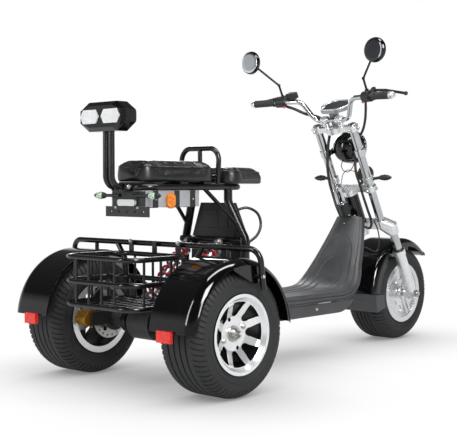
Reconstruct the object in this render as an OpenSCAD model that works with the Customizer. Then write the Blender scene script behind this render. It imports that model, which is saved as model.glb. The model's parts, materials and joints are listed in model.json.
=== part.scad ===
/* [Wheels] */
// Distance between the front and rear axles
wheelbase = 1583; // [1480:1:1700]
// Outer diameter of all three tyres
tyre_od = 450; // [430:1:460]
// Width of a rear tyre
rear_tyre_w = 205; // [190:1:212]
// Width of the front tyre
front_tyre_w = 192; // [170:1:194]
// Distance between the rear tyres' middle planes
rear_track = 750; // [720:1:800]
// Diameter over the rim flanges
rim_flange_d = 284; // [276:1:300]
// Diameter of the bead seat, under the tyre
bead_d = 254; // [240:1:262]
// Spokes of a rear wheel
rear_spokes = 8; // [6:1:10]
// Pitch circle of the four wheel nuts
lug_pcd = 110; // [100:1:120]

/* [Steering] */
// Lean of the fork and of the steering axis, in degrees
rake = 28; // [25:0.5:30]
// Steering axis behind the front axle line
axis_back = 45; // [40:1:52]
// Diameter of the chrome fork tubes
fork_tube_d = 38; // [34:1:42]
// Distance between the upper fork tubes
fork_tube_gap = 196; // [190:1:206]
// Distance between the lower fork legs
leg_gap = 270; // [266:1:284]
// Diameter of a lower fork leg
leg_d = 52; // [44:1:53]
// Outer diameter of the head tube
head_d = 68; // [62:1:74]
// Diameter of the steering stem
stem_d = 44; // [38:1:48]
// Height of the top yoke's middle above the axle, along the fork
top_yoke_w = 883; // [860:1:900]
// Thickness of the two fork yokes
yoke_t = 24; // [18:1:28]

/* [Handlebar] */
// Diameter of the handlebar tube
bar_d = 22; // [20:0.5:25]
// Half of the handlebar's width over the grip ends
bar_half = 386; // [360:1:400]
// Diameter of a grip
grip_d = 33; // [30:1:36]
// Diameter of a mirror head
mirror_d = 106; // [90:1:120]
// Diameter of the headlamp bowl
lamp_d = 148; // [130:1:152]

/* [Deck] */
// Height of the footboard's top
deck_z = 280; // [272:1:290]
// Half of the footboard's width
deck_half = 160; // [155:1:172]
// Height of the deck tray's underside
tray_z = 186; // [178:1:192]
// Half of the deck tray's width
tray_half = 150; // [146:1:158]
// Diameter of the frame's deck rails
rail_d = 34; // [30:1:36]

/* [Seat] */
// Height of the seat rails' middle
seat_rail_z = 735; // [725:1:750]
// Half of the distance between the seat rails
seat_rail_half = 100; // [96:1:106]
// Diameter of the seat rails
seat_rail_d = 24; // [22:1:26]
// Thickness of the driver's seat
seat_front_h = 60; // [52:1:66]
// Thickness of the passenger's seat
seat_rear_h = 74; // [66:1:80]
// Height of the backrest's middle
backrest_z = 988; // [960:1:1010]
// Half of the backrest's width
backrest_half = 124; // [110:1:140]

/* [Rear] */
// Outer radius of the rear fenders about the axle
fender_r = 265; // [260:1:272]
// Skin thickness of the fenders
skin_t = 3; // [2.5:0.5:4]
// Diameter of the bar over the fenders
bar_tube_d = 21; // [18:1:24]
// Height of the bar over the fenders
bar_z = 520; // [515:1:530]
// Half of the basket's width
basket_half = 190; // [175:1:195]
// Height of the basket's floor
basket_floor_z = 307; // [304:1:315]
// Height of the basket's top ring
basket_top_z = 480; // [470:1:490]
// Diameter of the basket's rings
ring_d = 19; // [16:1:20]
// Diameter of the rear axle housing
axle_tube_d = 62; // [56:1:66]
// Diameter of the rear wheel shafts
shaft_d = 35; // [30:1:38]
// Diameter of the rear brake discs
brake_d = 158; // [150:1:164]

/* [Front fender] */
// Outer radius of the front fender about the axle
front_fender_r = 262; // [258:1:268]
// Half of the front fender's width
front_fender_half = 104; // [103:0.5:105]
// Radius of the kicked-up front lip
lip_r = 110; // [90:1:130]

/* [Hidden] */
$fn = 64;

// Gap left where one piece of a body seats on another
seat_gap = 0.1;
// Radial clearance of a shaft that turns in its bore
run_gap = 0.05;
// Gap under a soft or lightly seated piece
rest_gap = 0.3;
// Overlap that lets a cut run past a face
past = 1;
// A bend is this much fuller than its straights, which are let into it by the lap
bend_full = 0.05;
bend_lap = 0.6;

wheel_r = tyre_od / 2;
rear_y = rear_track / 2;
tube_y = fork_tube_gap / 2;
leg_y = leg_gap / 2;
tube_r = fork_tube_d / 2;
leg_r = leg_d / 2;
bead_r = bead_d / 2;
flange_r = rim_flange_d / 2;
// The upper fork tubes stand a little behind the axle line, the lower legs a little ahead of it
tube_x = -12;
leg_x = 6;

// Join and end of the front fender's lip, as angles from straight ahead
lip_join = 48;
lip_turn = 72;
lip_end = 180 + lip_join + lip_turn;
// Lower ends of the rear fenders, in degrees above the axle
fender_low = 5;
// Depth of the red reflectors behind the rear fenders
reflector_t = 14;
front_reach = wheelbase + (front_fender_r + lip_r) * cos(lip_join) + lip_r * cos(lip_end);
rear_reach = -(fender_r * cos(fender_low) + rest_gap + reflector_t);
mid_x = (front_reach + rear_reach) / 2;

// Puts the middle of the vehicle's length at the origin
module place() {
    translate([-mid_x, 0, 0]) children();
}

module both() {
    children();
    mirror([0, 1, 0]) children();
}

// Frame of the fork: origin at the front axle, Z up along the fork
module forked() {
    translate([wheelbase, 0, wheel_r]) rotate([0, -rake, 0]) children();
}

// Frame of a wheel: Z points out to the right, Y up
module about_axle(x) {
    translate([x, 0, wheel_r]) rotate([90, 0, 0]) children();
}

function unit(v) = v / norm(v);

module rod(a, b, r) {
    d = b - a;
    translate(a) rotate([0, acos(d.z / norm(d)), atan2(d.y, d.x)]) cylinder(h = norm(d), r = r);
}

function turn(a, p, b) = acos(unit(p - a) * unit(b - p));

function trim(a, p, b, bend) = bend * tan(turn(a, p, b) / 2);

// One bend of a pipe: a true torus between its two straights, a hair fuller than they are
module elbow(a, p, b, r, bend) {
    d1 = unit(p - a);
    w = unit(cross(d1, unit(b - p)));
    u = cross(d1, w);
    t = trim(a, p, b, bend);
    c = p - d1 * t - u * bend;
    multmatrix([[u.x, d1.x, w.x, c.x], [u.y, d1.y, w.y, c.y], [u.z, d1.z, w.z, c.z]])
        rotate_extrude(angle = turn(a, p, b)) translate([bend, 0]) circle(r + bend_full);
}

// One straight of a pipe, trimmed by the bends at its ends and let into them
module straight(a, b, t0, t1, r) {
    d = unit(b - a);
    rod(a + d * (t0 > 0 ? t0 - bend_lap : 0), b - d * (t1 > 0 ? t1 - bend_lap : 0), r);
}

// A bent pipe through the given points, with one bend radius
module pipe(pts, r, bend) {
    n = len(pts);
    for (i = [0 : n - 2])
        straight(pts[i], pts[i + 1], i == 0 ? 0 : trim(pts[i - 1], pts[i], pts[i + 1], bend),
            i == n - 2 ? 0 : trim(pts[i], pts[i + 1], pts[i + 2], bend), r);
    for (i = [1 : 1 : n - 2]) elbow(pts[i - 1], pts[i], pts[i + 1], r, bend);
}

// A bent pipe closed on itself
module ring(pts, r, bend) {
    n = len(pts);
    for (i = [0 : n - 1]) {
        a = pts[(i + n - 1) % n];
        p = pts[i];
        b = pts[(i + 1) % n];
        straight(p, b, trim(a, p, b, bend), trim(p, b, pts[(i + 2) % n], bend), r);
        elbow(a, p, b, r, bend);
    }
}

// A closed skin through loops of points, each loop with as many points as the next
module loft(loops) {
    n = len(loops[0]);
    m = len(loops);
    last = (m - 1) * n;
    pts = [for (l = loops) for (p = l) p];
    sides = [for (i = [0 : m - 2]) for (j = [0 : n - 1])
        let (k = (j + 1) % n, a = i * n, b = a + n)
        each [[a + j, a + k, b + k], [a + j, b + k, b + j]]];
    ends = [for (j = [0 : n / 2 - 2]) let (o = n - 1 - j)
        each [[o, o - 1, j + 1], [o, j + 1, j],
            [last + j, last + j + 1, last + o - 1], [last + j, last + o - 1, last + o]]];
    polyhedron(pts, concat(sides, ends), convexity = 6);
}

// Rectangle from r0 to r1 with its two outer corners rounded
module crowned(r0, r1, w, c) {
    translate([r0, -w / 2]) square([r1 - c - r0, w]);
    translate([r0, c - w / 2]) square([r1 - r0, w - 2 * c]);
    intersection() {
        for (s = [-1, 1]) translate([r1 - c, s * (w / 2 - c)]) circle(c);
        translate([r0, -w]) square([r1 - r0 + c, 2 * w]);
    }
}

// Disc with rounded edges, standing on z = 0
module pillow(r, h, e) {
    rotate_extrude($fn = 32) {
        square([r - e, h]);
        translate([0, e]) square([r, h - 2 * e]);
        for (z = [e, h - e]) translate([r - e, z]) circle(e, $fn = 24);
    }
}

// Pointed oval turned about Z, from 0 to its length, with its greatest radius in the middle
module lens_body(length, r) {
    rotate_extrude() polygon([[0, 0], [r * 0.3, 0], [r * 0.8, length * 0.22], [r, length / 2],
        [r * 0.8, length * 0.78], [r * 0.3, length], [0, length]]);
}

// Frame: head tube, down tube and deck rails, with the crosswise tube at their rear end

rail_r = rail_d / 2;
rail_y = 118;
rail_z = tray_z + 26;
rear_cross_x = 330;
rail_bend = [1000, rail_y, rail_z];
foot_x = 340;
foot_y = 160;
foot_r = 24;
foot_top = 232;
bridge_low = 331;
bridge_top = 410;
bearing_gap = 1;
yoke_gap = 307;
mid_yoke_w = top_yoke_w - yoke_gap;
head_low = bridge_top + bearing_gap;
head_top = mid_yoke_w - yoke_t / 2 - bearing_gap;
down_tube_r = 22;
down_tube_foot = [1165, 0, 268];
// The down tube meets the head tube this far up the fork
down_tube_w = 472;
down_tube_top = [wheelbase - axis_back * cos(rake) - down_tube_w * sin(rake), 0,
    wheel_r - axis_back * sin(rake) + down_tube_w * cos(rake)];
pivot_x = 275;
pivot_z = 214;
pivot_r = 20;
pivot_half = 127;
lug_t = 9;
pin_r = 8;

module main_frame() {
    color("#17181a") difference() {
        union() {
            forked() translate([-axis_back, 0, head_low]) cylinder(h = head_top - head_low, d = head_d);
            rod(down_tube_top, down_tube_foot, down_tube_r);
            translate(down_tube_foot) sphere(down_tube_r + 3);
            both() {
                pipe([[rear_cross_x, rail_y, rail_z], rail_bend, down_tube_foot], rail_r, 100);
                translate([foot_x, foot_y, rail_z]) cylinder(h = foot_top - rail_z, r = foot_r);
                translate([pivot_x, pivot_half + rest_gap, pivot_z]) rotate([-90, 0, 0])
                    cylinder(h = lug_t, r = pivot_r);
                translate([pivot_x, pivot_half + rest_gap, pivot_z - pivot_r])
                    cube([rear_cross_x - pivot_x, lug_t, 2 * pivot_r]);
            }
            translate([rear_cross_x, -foot_y, rail_z]) rotate([-90, 0, 0])
                cylinder(h = 2 * foot_y, r = rail_r);
        }
        forked() translate([-axis_back, 0, head_low - past])
            cylinder(h = head_top - head_low + 2 * past, r = stem_d / 2 + run_gap);
        both() translate([pivot_x, pivot_half, pivot_z]) rotate([-90, 0, 0])
            cylinder(h = lug_t + 2 * past, r = pin_r + seat_gap);
    }
}

// Seat frame: two uprights that lean in, the seat rail loop, its stays and the shock crossbar

upright_r = 17;
// The uprights lean, so their cut ends need this to clear the frame's feet
foot_gap = 1.8;
seat_rail_r = seat_rail_d / 2;
rail_back_x = -110;
rail_front_x = 420;
shoulder_x = 362;
shoulder_z = 525;
shoulder_y = 166;
cross_r = 14;
stay_r = 8;
shock_y = 85;
shock_top = [292, shock_y, 520];
ear_t = 8;
eye_in = 9;
eye_w = 14.5;
ear_y = shock_y - eye_in - rest_gap - ear_t;
strap_x = [-40, 90, 215];
strap_w = 42;
strap_t = 7.7;

module seat_frame() {
    color("#17181a") {
        both() {
            pipe([[foot_x, foot_y, foot_top + foot_gap], [shoulder_x, shoulder_y, shoulder_z],
                [rear_cross_x, seat_rail_half, seat_rail_z - 60],
                [rear_cross_x, seat_rail_half, seat_rail_z]], upright_r, 70);
            rod([188, seat_rail_half, seat_rail_z], [350, 142, 580], stay_r);
            difference() {
                hull() {
                    translate([foot_x - 4, ear_y, shoulder_z]) rotate([-90, 0, 0])
                        cylinder(h = ear_t, r = cross_r, $fn = 32);
                    translate([shock_top.x, ear_y, shock_top.z]) rotate([-90, 0, 0])
                        cylinder(h = ear_t, r = 16, $fn = 32);
                }
                translate([shock_top.x, 0, shock_top.z]) rotate([-90, 0, 0])
                    cylinder(h = shock_y, r = pin_r + seat_gap);
            }
        }
        ring([[rail_back_x, seat_rail_half, seat_rail_z], [rail_front_x, seat_rail_half, seat_rail_z],
            [rail_front_x, -seat_rail_half, seat_rail_z], [rail_back_x, -seat_rail_half, seat_rail_z]],
            seat_rail_r, 60);
        translate([foot_x, -shoulder_y, shoulder_z]) rotate([-90, 0, 0])
            cylinder(h = 2 * shoulder_y, r = cross_r);
        for (x = strap_x) translate([x - strap_w / 2, -seat_rail_half, seat_rail_z + seat_rail_r - 4])
            cube([strap_w, 2 * seat_rail_half, strap_t + 4 - rest_gap]);
    }
}

// Deck tray: open steel tray under the footboard, with a rounded nose

tray_top = deck_z - 44 - rest_gap;
tray_back_x = 372;
tray_nose_x = 985;
tray_nose_r = 160;
tray_t = 6;

module tray_outline(inset) {
    intersection() {
        translate([tray_back_x + inset, tray_z + inset]) square([900, 200]);
        union() {
            translate([tray_back_x, tray_z]) square([tray_nose_x - tray_back_x, 200]);
            translate([tray_nose_x, tray_z + tray_nose_r]) circle(tray_nose_r - inset);
        }
    }
}

module deck_tray() {
    color("#3a3b3d") difference() {
        translate([0, tray_half, 0]) rotate([90, 0, 0]) linear_extrude(2 * tray_half)
            intersection() {
                tray_outline(0);
                translate([0, tray_z]) square([2000, tray_top - tray_z]);
            }
        translate([0, tray_half - tray_t, 0]) rotate([90, 0, 0])
            linear_extrude(2 * (tray_half - tray_t)) tray_outline(tray_t);
        translate([tray_nose_x + 15, 20 - tray_half, tray_z + 20])
            cube([250, 2 * (tray_half - 20), 200]);
        both() translate([tray_back_x - past, rail_y, rail_z]) rotate([0, 90, 0])
            cylinder(h = tray_t + 2 * past, r = rail_r + seat_gap);
    }
}

// Footboard: one moulding from the deck up the leg shield

// Columns: place along the vehicle, height, half width, how far the edges fall, thickness
shield = [
    [tray_back_x, deck_z, deck_half, 0, 44],
    [490, deck_z, deck_half, 0, 44],
    [700, deck_z, deck_half, 0, 44],
    [940, deck_z - 2, deck_half, 2, 39],
    [1010, deck_z + 2, deck_half, 6, 40],
    [1055, deck_z + 13, deck_half, 12, 36],
    [1092, deck_z + 38, deck_half - 3, 18, 32],
    [1118, deck_z + 72, deck_half - 13, 22, 30],
    [1142, deck_z + 116, deck_half - 28, 25, 28],
    [1172, deck_z + 166, deck_half - 42, 26, 28],
    [1202, deck_z + 220, deck_half - 58, 26, 28],
    [1230, deck_z + 272, deck_half - 74, 24, 28],
    [1255, deck_z + 322, deck_half - 90, 20, 28]];
shield_steps = 6;

function shield_along(i) =
    let (a = shield[max(i - 1, 0)], b = shield[min(i + 1, len(shield) - 1)])
    unit([b[0] - a[0], b[1] - a[1]]);

function shield_point(i, u, depth) =
    let (s = shield[i], t = shield_along(i), fall = depth + s[3] * pow(abs(u), 2.5))
    [s[0] + t.y * fall, u * s[2], s[1] - t.x * fall];

module footboard() {
    color("#3f4042") loft([for (i = [0 : len(shield) - 1])
        concat(
            [for (k = [-shield_steps : shield_steps]) shield_point(i, k / shield_steps, 0)],
            [for (k = [shield_steps : -1 : -shield_steps])
                shield_point(i, k / shield_steps, shield[i][4])])]);
}

// Key lock: barrel on a bracket behind the head tube, turned towards the rider

lock_x = -120;
lock_d = 50;
lock_drop = 63;
lock_w = head_top - lock_drop;
lock_h = 54;

module key_lock() {
    color("#26272a") difference() {
        union() {
            forked() translate([lock_x, 0, lock_w]) cylinder(h = lock_h, d = lock_d);
            forked() translate([lock_x, -12, lock_w + 6])
                cube([-axis_back - lock_x, 24, 20]);
        }
        forked() translate([-axis_back, 0, 0]) cylinder(h = 1000, d = head_d + 2 * seat_gap);
        forked() translate([lock_x - 4, -1.5, lock_w + lock_h - 12]) cube([8, 3, 20]);
    }
}

// Controller box: tapered housing between the uprights

// Columns: height, half width, rear face, front face
controller = [[deck_z + rest_gap, 138, 364, 424], [525, 134, 364, 416], [672, 82, 364, 398]];

module controller_box() {
    color("#1b1c1e") loft([for (c = controller)
        [[c[2], -c[1], c[0]], [c[3], -c[1], c[0]], [c[3], c[1], c[0]], [c[2], c[1], c[0]]]]);
}

// Storage box hung under the passenger's seat

box_back_x = -100;
box_front_x = 172;
box_half = 104;
box_low = 662;
box_top = seat_rail_z - seat_rail_r - rest_gap;

module seat_box() {
    r = 14;
    color("#b9bbbd") translate([0, 0, box_low]) linear_extrude(box_top - box_low) {
        translate([box_back_x + r, -box_half]) square([box_front_x - box_back_x - 2 * r, 2 * box_half]);
        translate([box_back_x, r - box_half]) square([box_front_x - box_back_x, 2 * (box_half - r)]);
        for (x = [box_back_x + r, box_front_x - r], s = [-1, 1])
            translate([x, s * (box_half - r)]) circle(r);
    }
}

// Seats: padded blocks with rounded plan and edges

seat_base = seat_rail_z + seat_rail_r + rest_gap;
seat_edge = 16;

module seat_front() {
    color("#1a1a1b") translate([0, 0, seat_base]) hull() {
        for (s = [-1, 1]) {
            translate([346, s * 94, 0]) pillow(52, seat_front_h, seat_edge);
            translate([527, s * 24, 0]) pillow(62, seat_front_h, seat_edge);
        }
    }
}

module seat_rear() {
    color("#1a1a1b") translate([0, 0, seat_base + strap_t]) hull() {
        for (s = [-1, 1]) {
            translate([200, s * 67, 0]) pillow(55, seat_rear_h, seat_edge);
            translate([-60, s * 48, 0]) pillow(45, seat_rear_h, seat_edge);
        }
    }
}

// Grab hoop between the two seats

hoop_x = 275;
hoop_r = 10;
hoop_top = 886;
hoop_bend = 48;

module grab_hoop() {
    foot = seat_rail_z + seat_rail_r - 6;
    color("#151617") difference() {
        union() {
            pipe([[hoop_x, -96, foot], [hoop_x, -104, hoop_top], [hoop_x, 104, hoop_top],
                [hoop_x, 96, foot]], hoop_r, hoop_bend);
            rod([hoop_x, -96, 775], [hoop_x, 96, 775], 7);
            rod([hoop_x, 0, 775], [hoop_x, 0, hoop_top], 9);
        }
        both() rod([0, seat_rail_half, seat_rail_z], [400, seat_rail_half, seat_rail_z], seat_rail_r + seat_gap);
    }
}

// Backrest: two posts in a clamp on the seat rail, an eight-sided shell and a pad

post_x = -196;
post_y = 16;
post_r = 11;
clamp_x = -152;
backrest_low = backrest_z - 53;
shell_back = -236;
shell_front = -176;

module backrest_posts() {
    color("#151617") difference() {
        union() {
            both() pipe([[clamp_x, post_y, seat_rail_z], [post_x, post_y, seat_rail_z],
                [post_x, post_y, backrest_low]], post_r, 42);
            translate([clamp_x, -36, seat_rail_z - 14]) cube([rail_back_x - clamp_x, 72, 28]);
        }
        rod([rail_back_x, -100, seat_rail_z], [rail_back_x, 100, seat_rail_z], seat_rail_r + seat_gap);
    }
}

module octagon_outline(inset) {
    w = backrest_half - inset;
    h = backrest_z - backrest_low - inset;
    polygon([[w, -22], [w, 22], [w - 47, h], [47 - w, h], [-w, 22], [-w, -22], [47 - w, -h], [w - 47, -h]]);
}

module backrest_slab(x0, x1, inset) {
    translate([x0, 0, backrest_z]) rotate([90, 0, 90]) linear_extrude(x1 - x0) octagon_outline(inset);
}

module backrest_shell() {
    color("#111213") hull() {
        backrest_slab(shell_back + 14, shell_front, 0);
        backrest_slab(shell_back, shell_front, 14);
    }
}

module backrest_pad() {
    color("#1a1a1b") hull() {
        backrest_slab(shell_front + rest_gap, shell_front + 14, 6);
        backrest_slab(shell_front + rest_gap, shell_front + 26, 20);
    }
}

module backrest_plates() {
    color("#d8dadb") both() translate([shell_back - 4, 0, backrest_z]) rotate([90, 0, 90])
        linear_extrude(4) polygon([[7, 0], [22, -25], [92, -25], [107, 0], [92, 25], [22, 25]]);
}

// Tail: lamp bracket and number plate strip on the rear of the storage box

tail_x = box_back_x - 5;
strip_z = 645;
strip_half = 118;
strip_h = 38;
strip_hole_r = 4;
strip_pitch = 44;

module tail_bracket() {
    color("#161718") {
        translate([tail_x, -52, strip_z - 10]) cube([5 - rest_gap, 104, 74]);
        difference() {
            translate([tail_x - 5, -strip_half, strip_z - strip_h / 2]) cube([5, 2 * strip_half, strip_h]);
            for (i = [-2 : 2]) translate([tail_x - 10, i * strip_pitch, strip_z]) rotate([0, 90, 0])
                cylinder(h = 20, r = strip_hole_r);
        }
    }
}

module tail_lens() {
    color("#e9ebec") translate([tail_x - rest_gap - 10, 0, 678]) rotate([0, 90, 0]) linear_extrude(10) {
        translate([-12, -36]) square([24, 72]);
        for (s = [-1, 1]) translate([0, s * 36]) circle(12);
    }
}

signal_r = 6;
signal_x = tail_x - rest_gap - signal_r;
signal_z = 704;

module rear_indicators() {
    color("#1d1e20") both() {
        translate([signal_x, 38, signal_z]) rotate([-90, 0, 0]) cylinder(h = 74, r = signal_r);
        translate([signal_x, 108, signal_z]) rotate([-90, 0, 0]) lens_body(72, 14);
    }
}

module side_reflectors() {
    color("#f08a10") both() translate([9, box_half + rest_gap, 685]) rotate([-90, 0, 0])
        linear_extrude(10) {
            translate([-21, -8]) square([42, 16]);
            for (s = [-1, 1]) translate([0, s * 8]) circle(21);
        }
}

module rear_reflectors() {
    color("#d81e14") both() translate([rear_reach, rear_y - 42, 216]) cube([reflector_t, 66, 40]);
}

// Rear fenders: curved skins over the wheels, rolled over at the outer edge

fender_in = rear_y - 92;
fender_roll_y = rear_y + 75;
fender_roll_r = 45;
fender_lap = 25;
tab_lap = 2;
tab_y = fender_roll_y + sqrt(pow(fender_roll_r, 2) - pow(fender_roll_r - fender_lap, 2));
bar_end_y = tab_y + 18;
bar_bolt_x = 62;
bar_bolt_z = 425;

module fender_section() {
    translate([fender_r - skin_t, fender_in]) square([skin_t, fender_roll_y - fender_in]);
    translate([fender_r - fender_roll_r, fender_roll_y]) intersection() {
        difference() {
            circle(fender_roll_r);
            circle(fender_roll_r - skin_t);
        }
        translate([fender_roll_r - fender_lap, 0]) square([fender_lap, fender_roll_r]);
    }
}

module rear_fender_right() {
    color("#0d0d0e") {
        about_axle(0) rotate([0, 0, fender_low]) rotate_extrude(angle = 180 - 2 * fender_low)
            fender_section();
        difference() {
            about_axle(0) translate([0, 0, tab_y - skin_t]) linear_extrude(skin_t) intersection() {
                circle(fender_r - fender_lap + tab_lap);
                polygon([[-62, fender_r], [96, fender_r], [92, 218], [78, 188], [62, 176], [40, 176],
                    [-10, 200], [-62, 226]]);
            }
            translate([bar_bolt_x, 0, bar_bolt_z]) rotate([90, 0, 0]) cylinder(h = 1000, r = 4);
        }
    }
}

module rear_fender_left() {
    mirror([0, 1, 0]) rear_fender_right();
}

// Bar over both fenders, with drop tubes to the axle housing

axle_half = 200;
flange_t = 10;
bar_x = 50;
drop_y = axle_half - flange_t - 14;
bar_tube_r = bar_tube_d / 2;

module fender_bar() {
    color("#141516") difference() {
        union() {
            pipe([[bar_bolt_x + 8, -bar_end_y, 378], [bar_x, -bar_end_y, bar_z],
                [bar_x, bar_end_y, bar_z], [bar_bolt_x + 8, bar_end_y, 378]], bar_tube_r, 46);
            both() {
                pipe([[bar_x, 238, bar_z], [bar_x, drop_y + 14, bar_z - 62], [bar_x, drop_y, 320],
                    [14, drop_y, wheel_r + 20]], 10, 36);
                translate([bar_x, rear_y - 15, wheel_r + 240]) cylinder(h = bar_z - wheel_r - 240, r = 8);
                translate([bar_bolt_x, tab_y, bar_bolt_z]) rotate([-90, 0, 0])
                    cylinder(h = bar_end_y - tab_y, r = 8);
            }
        }
        about_axle(0) translate([0, 0, -250]) cylinder(h = 500, d = axle_tube_d + 2 * seat_gap);
        both() about_axle(0) translate([0, 0, fender_in]) cylinder(h = 180, r = fender_r + seat_gap);
    }
}

// Basket: three bent rings, a floor of bars and thin uprights, hung from the fender bar

basket_front_x = 20;
basket_back_x = -262;
ring_r = ring_d / 2;
basket_rods = 3;
basket_rod_r = 5;
basket_bend = 64;
floor_bars = 9;
basket_mid_z = (basket_floor_z + basket_top_z) / 2 - 3;

module basket_ring(z) {
    ring([[basket_front_x, basket_half, z], [basket_back_x, basket_half, z],
        [basket_back_x, -basket_half, z], [basket_front_x, -basket_half, z]], ring_r, basket_bend);
}

module basket_rod(x, y) {
    translate([x, y, basket_floor_z]) cylinder(h = basket_top_z - basket_floor_z, r = basket_rod_r);
}

module basket() {
    color("#141516") {
        for (z = [basket_floor_z, basket_mid_z, basket_top_z]) basket_ring(z);
        for (i = [0 : basket_rods - 1]) {
            x = basket_back_x + 62 + i * (basket_front_x - basket_back_x - 120) / (basket_rods - 1);
            both() basket_rod(x, basket_half);
        }
        for (y = [-105 : 70 : 105]) basket_rod(basket_back_x, y);
        for (y = [-100 : 100 : 100]) basket_rod(basket_front_x, y);
        for (i = [0 : floor_bars - 1]) {
            y = (i - (floor_bars - 1) / 2) * 2 * (basket_half - 30) / (floor_bars - 1);
            rod([basket_back_x + max(0, (abs(y) - basket_half + basket_bend) * 0.3), y, basket_floor_z],
                [basket_front_x, y, basket_floor_z], 4);
        }
        difference() {
            for (s = [-130, 0, 130]) {
                translate([bar_x - 24, s - 11, basket_top_z - 6]) cube([6, 22, bar_z - basket_top_z + 18]);
                translate([basket_front_x, s - 11, basket_top_z - 6]) cube([bar_x - 20 - basket_front_x, 22, 5]);
                rod([bar_x - 22, s, bar_z], [bar_x, s, bar_z], 5);
            }
            rod([bar_x, -300, bar_z], [bar_x, 300, bar_z], bar_tube_r + seat_gap);
        }
    }
}

// Rear axle: housing tube with a gearbox in the middle, and the motor block ahead of it

shaft_r = shaft_d / 2;
gear_r = 64;
gear_half = 58;
motor_r = 66;
motor_x = gear_r + motor_r + rest_gap;
motor_half = 62;

module rear_axle() {
    color("#1c1d1f") difference() {
        union() {
            about_axle(0) translate([0, 0, -axle_half]) cylinder(h = 2 * axle_half, d = axle_tube_d);
            about_axle(0) translate([0, 0, -gear_half]) cylinder(h = 2 * gear_half, r = gear_r);
            both() about_axle(0) translate([0, 0, axle_half - flange_t]) linear_extrude(flange_t) {
                circle(46);
                translate([-118, -18]) square([118, 50]);
            }
        }
        both() about_axle(0) translate([0, 0, axle_half - 75]) cylinder(h = 100, r = shaft_r + run_gap);
    }
}

module drive_motor() {
    color("#232427") about_axle(motor_x) translate([0, 0, -motor_half])
        cylinder(h = 2 * motor_half, r = motor_r);
}

brake_r = brake_d / 2;
brake_y = 228;
brake_t = 5;
brake_gap = 5.5;

module rear_calipers() {
    color("#b98a34") both() difference() {
        translate([-150, axle_half + seat_gap, wheel_r - 22]) cube([90, 57, 62]);
        about_axle(0) mirror([0, 0, 1]) translate([0, 0, brake_y - brake_t / 2 - brake_gap])
            cylinder(h = brake_t + 2 * brake_gap, r = brake_r + brake_gap);
    }
}

// Swing arm: pivot tube and two arms that clamp the axle housing

arm_y = 104;
arm_w = 26;
shock_foot = [52, shock_y, 276];

module swing_arm() {
    color("#1c1d1f") difference() {
        union() {
            translate([pivot_x, -pivot_half, pivot_z]) rotate([-90, 0, 0])
                cylinder(h = 2 * pivot_half, r = pivot_r);
            both() {
                translate([0, arm_y - arm_w / 2, pivot_z - 16]) cube([pivot_x, arm_w, 34]);
                about_axle(0) mirror([0, 0, 1]) translate([0, 0, arm_y - arm_w / 2])
                    cylinder(h = arm_w, r = axle_tube_d / 2 + 13);
                translate([shock_foot.x - 16, arm_y - arm_w / 2, pivot_z]) cube([32, 8, shock_foot.z - pivot_z]);
                translate([shock_foot.x, arm_y - arm_w / 2, shock_foot.z]) rotate([-90, 0, 0])
                    cylinder(h = 8, r = 16);
            }
        }
        about_axle(0) translate([0, 0, -axle_half]) cylinder(h = 2 * axle_half, d = axle_tube_d + 2 * seat_gap);
        translate([pivot_x, -pivot_half - past, pivot_z]) rotate([-90, 0, 0])
            cylinder(h = 2 * pivot_half + 2 * past, r = pin_r + seat_gap);
        both() translate([shock_foot.x, 0, shock_foot.z]) rotate([-90, 0, 0]) cylinder(h = 200, r = pin_r + seat_gap);
    }
}

// Shock absorbers: damper with an eye at each end, and the red spring around it

shock_line = shock_top - shock_foot;
shock_len = norm(shock_line);
spring_r = 27;
spring_wire = 5;
spring_turns = 8;
spring_parts = 14;
spring_sides = 8;
damper_r = 15;
neck_r = 6;

module along_shock() {
    translate(shock_foot) rotate([0, acos(shock_line.z / shock_len), 0]) children();
}

module shock_absorbers() {
    color("#9c9ea1") both() difference() {
        along_shock() {
            for (z = [0, shock_len]) translate([0, -eye_in, z]) rotate([-90, 0, 0])
                cylinder(h = eye_w, r = 15);
            translate([0, -1, 8]) cylinder(h = shock_len - 16, r = neck_r);
            translate([0, -1, 18]) cylinder(h = shock_len - 36, r = damper_r);
            for (z = [34, shock_len - 46]) translate([0, -1, z]) cylinder(h = 10, r = spring_r + 6);
        }
        for (p = [shock_foot, shock_top]) translate([p.x, 0, p.z]) rotate([-90, 0, 0])
            cylinder(h = 200, r = pin_r + seat_gap);
    }
}

// Height along a spring that starts and ends with half a flat turn
function spring_rise(t) = min(max((t - 0.5) / (spring_turns - 1), 0), 1);

function spring_loop(t, low, high) =
    [for (k = [0 : spring_sides - 1]) let (
        g = (k + 0.5) * 360 / spring_sides,
        q = spring_r - spring_wire + spring_wire * cos(g))
        [q * cos(360 * t), q * sin(360 * t), low + (high - low) * spring_rise(t) + spring_wire * sin(g)]];

module shock_springs() {
    low = 44 + spring_wire + rest_gap;
    high = shock_len - 46 - spring_wire - rest_gap;
    color("#c2182b") both() along_shock() translate([0, -1, 0])
        loft([for (i = [0 : spring_turns * spring_parts]) spring_loop(i / spring_parts, low, high)]);
}

// Fork: bridge with the steering stem, yokes, chrome tubes and sliders

stem_r = stem_d / 2;
tube_top = top_yoke_w + yoke_t / 2 + 6;
slider_top = 236;
slider_low = -22;
clamp_wall = 9;

module tube_bores(r) {
    both() {
        translate([tube_x, tube_y, bridge_low + 44]) cylinder(h = 1000, r = r);
        translate([leg_x, leg_y, 0]) cylinder(h = bridge_low + 42, r = r);
    }
}

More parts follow.
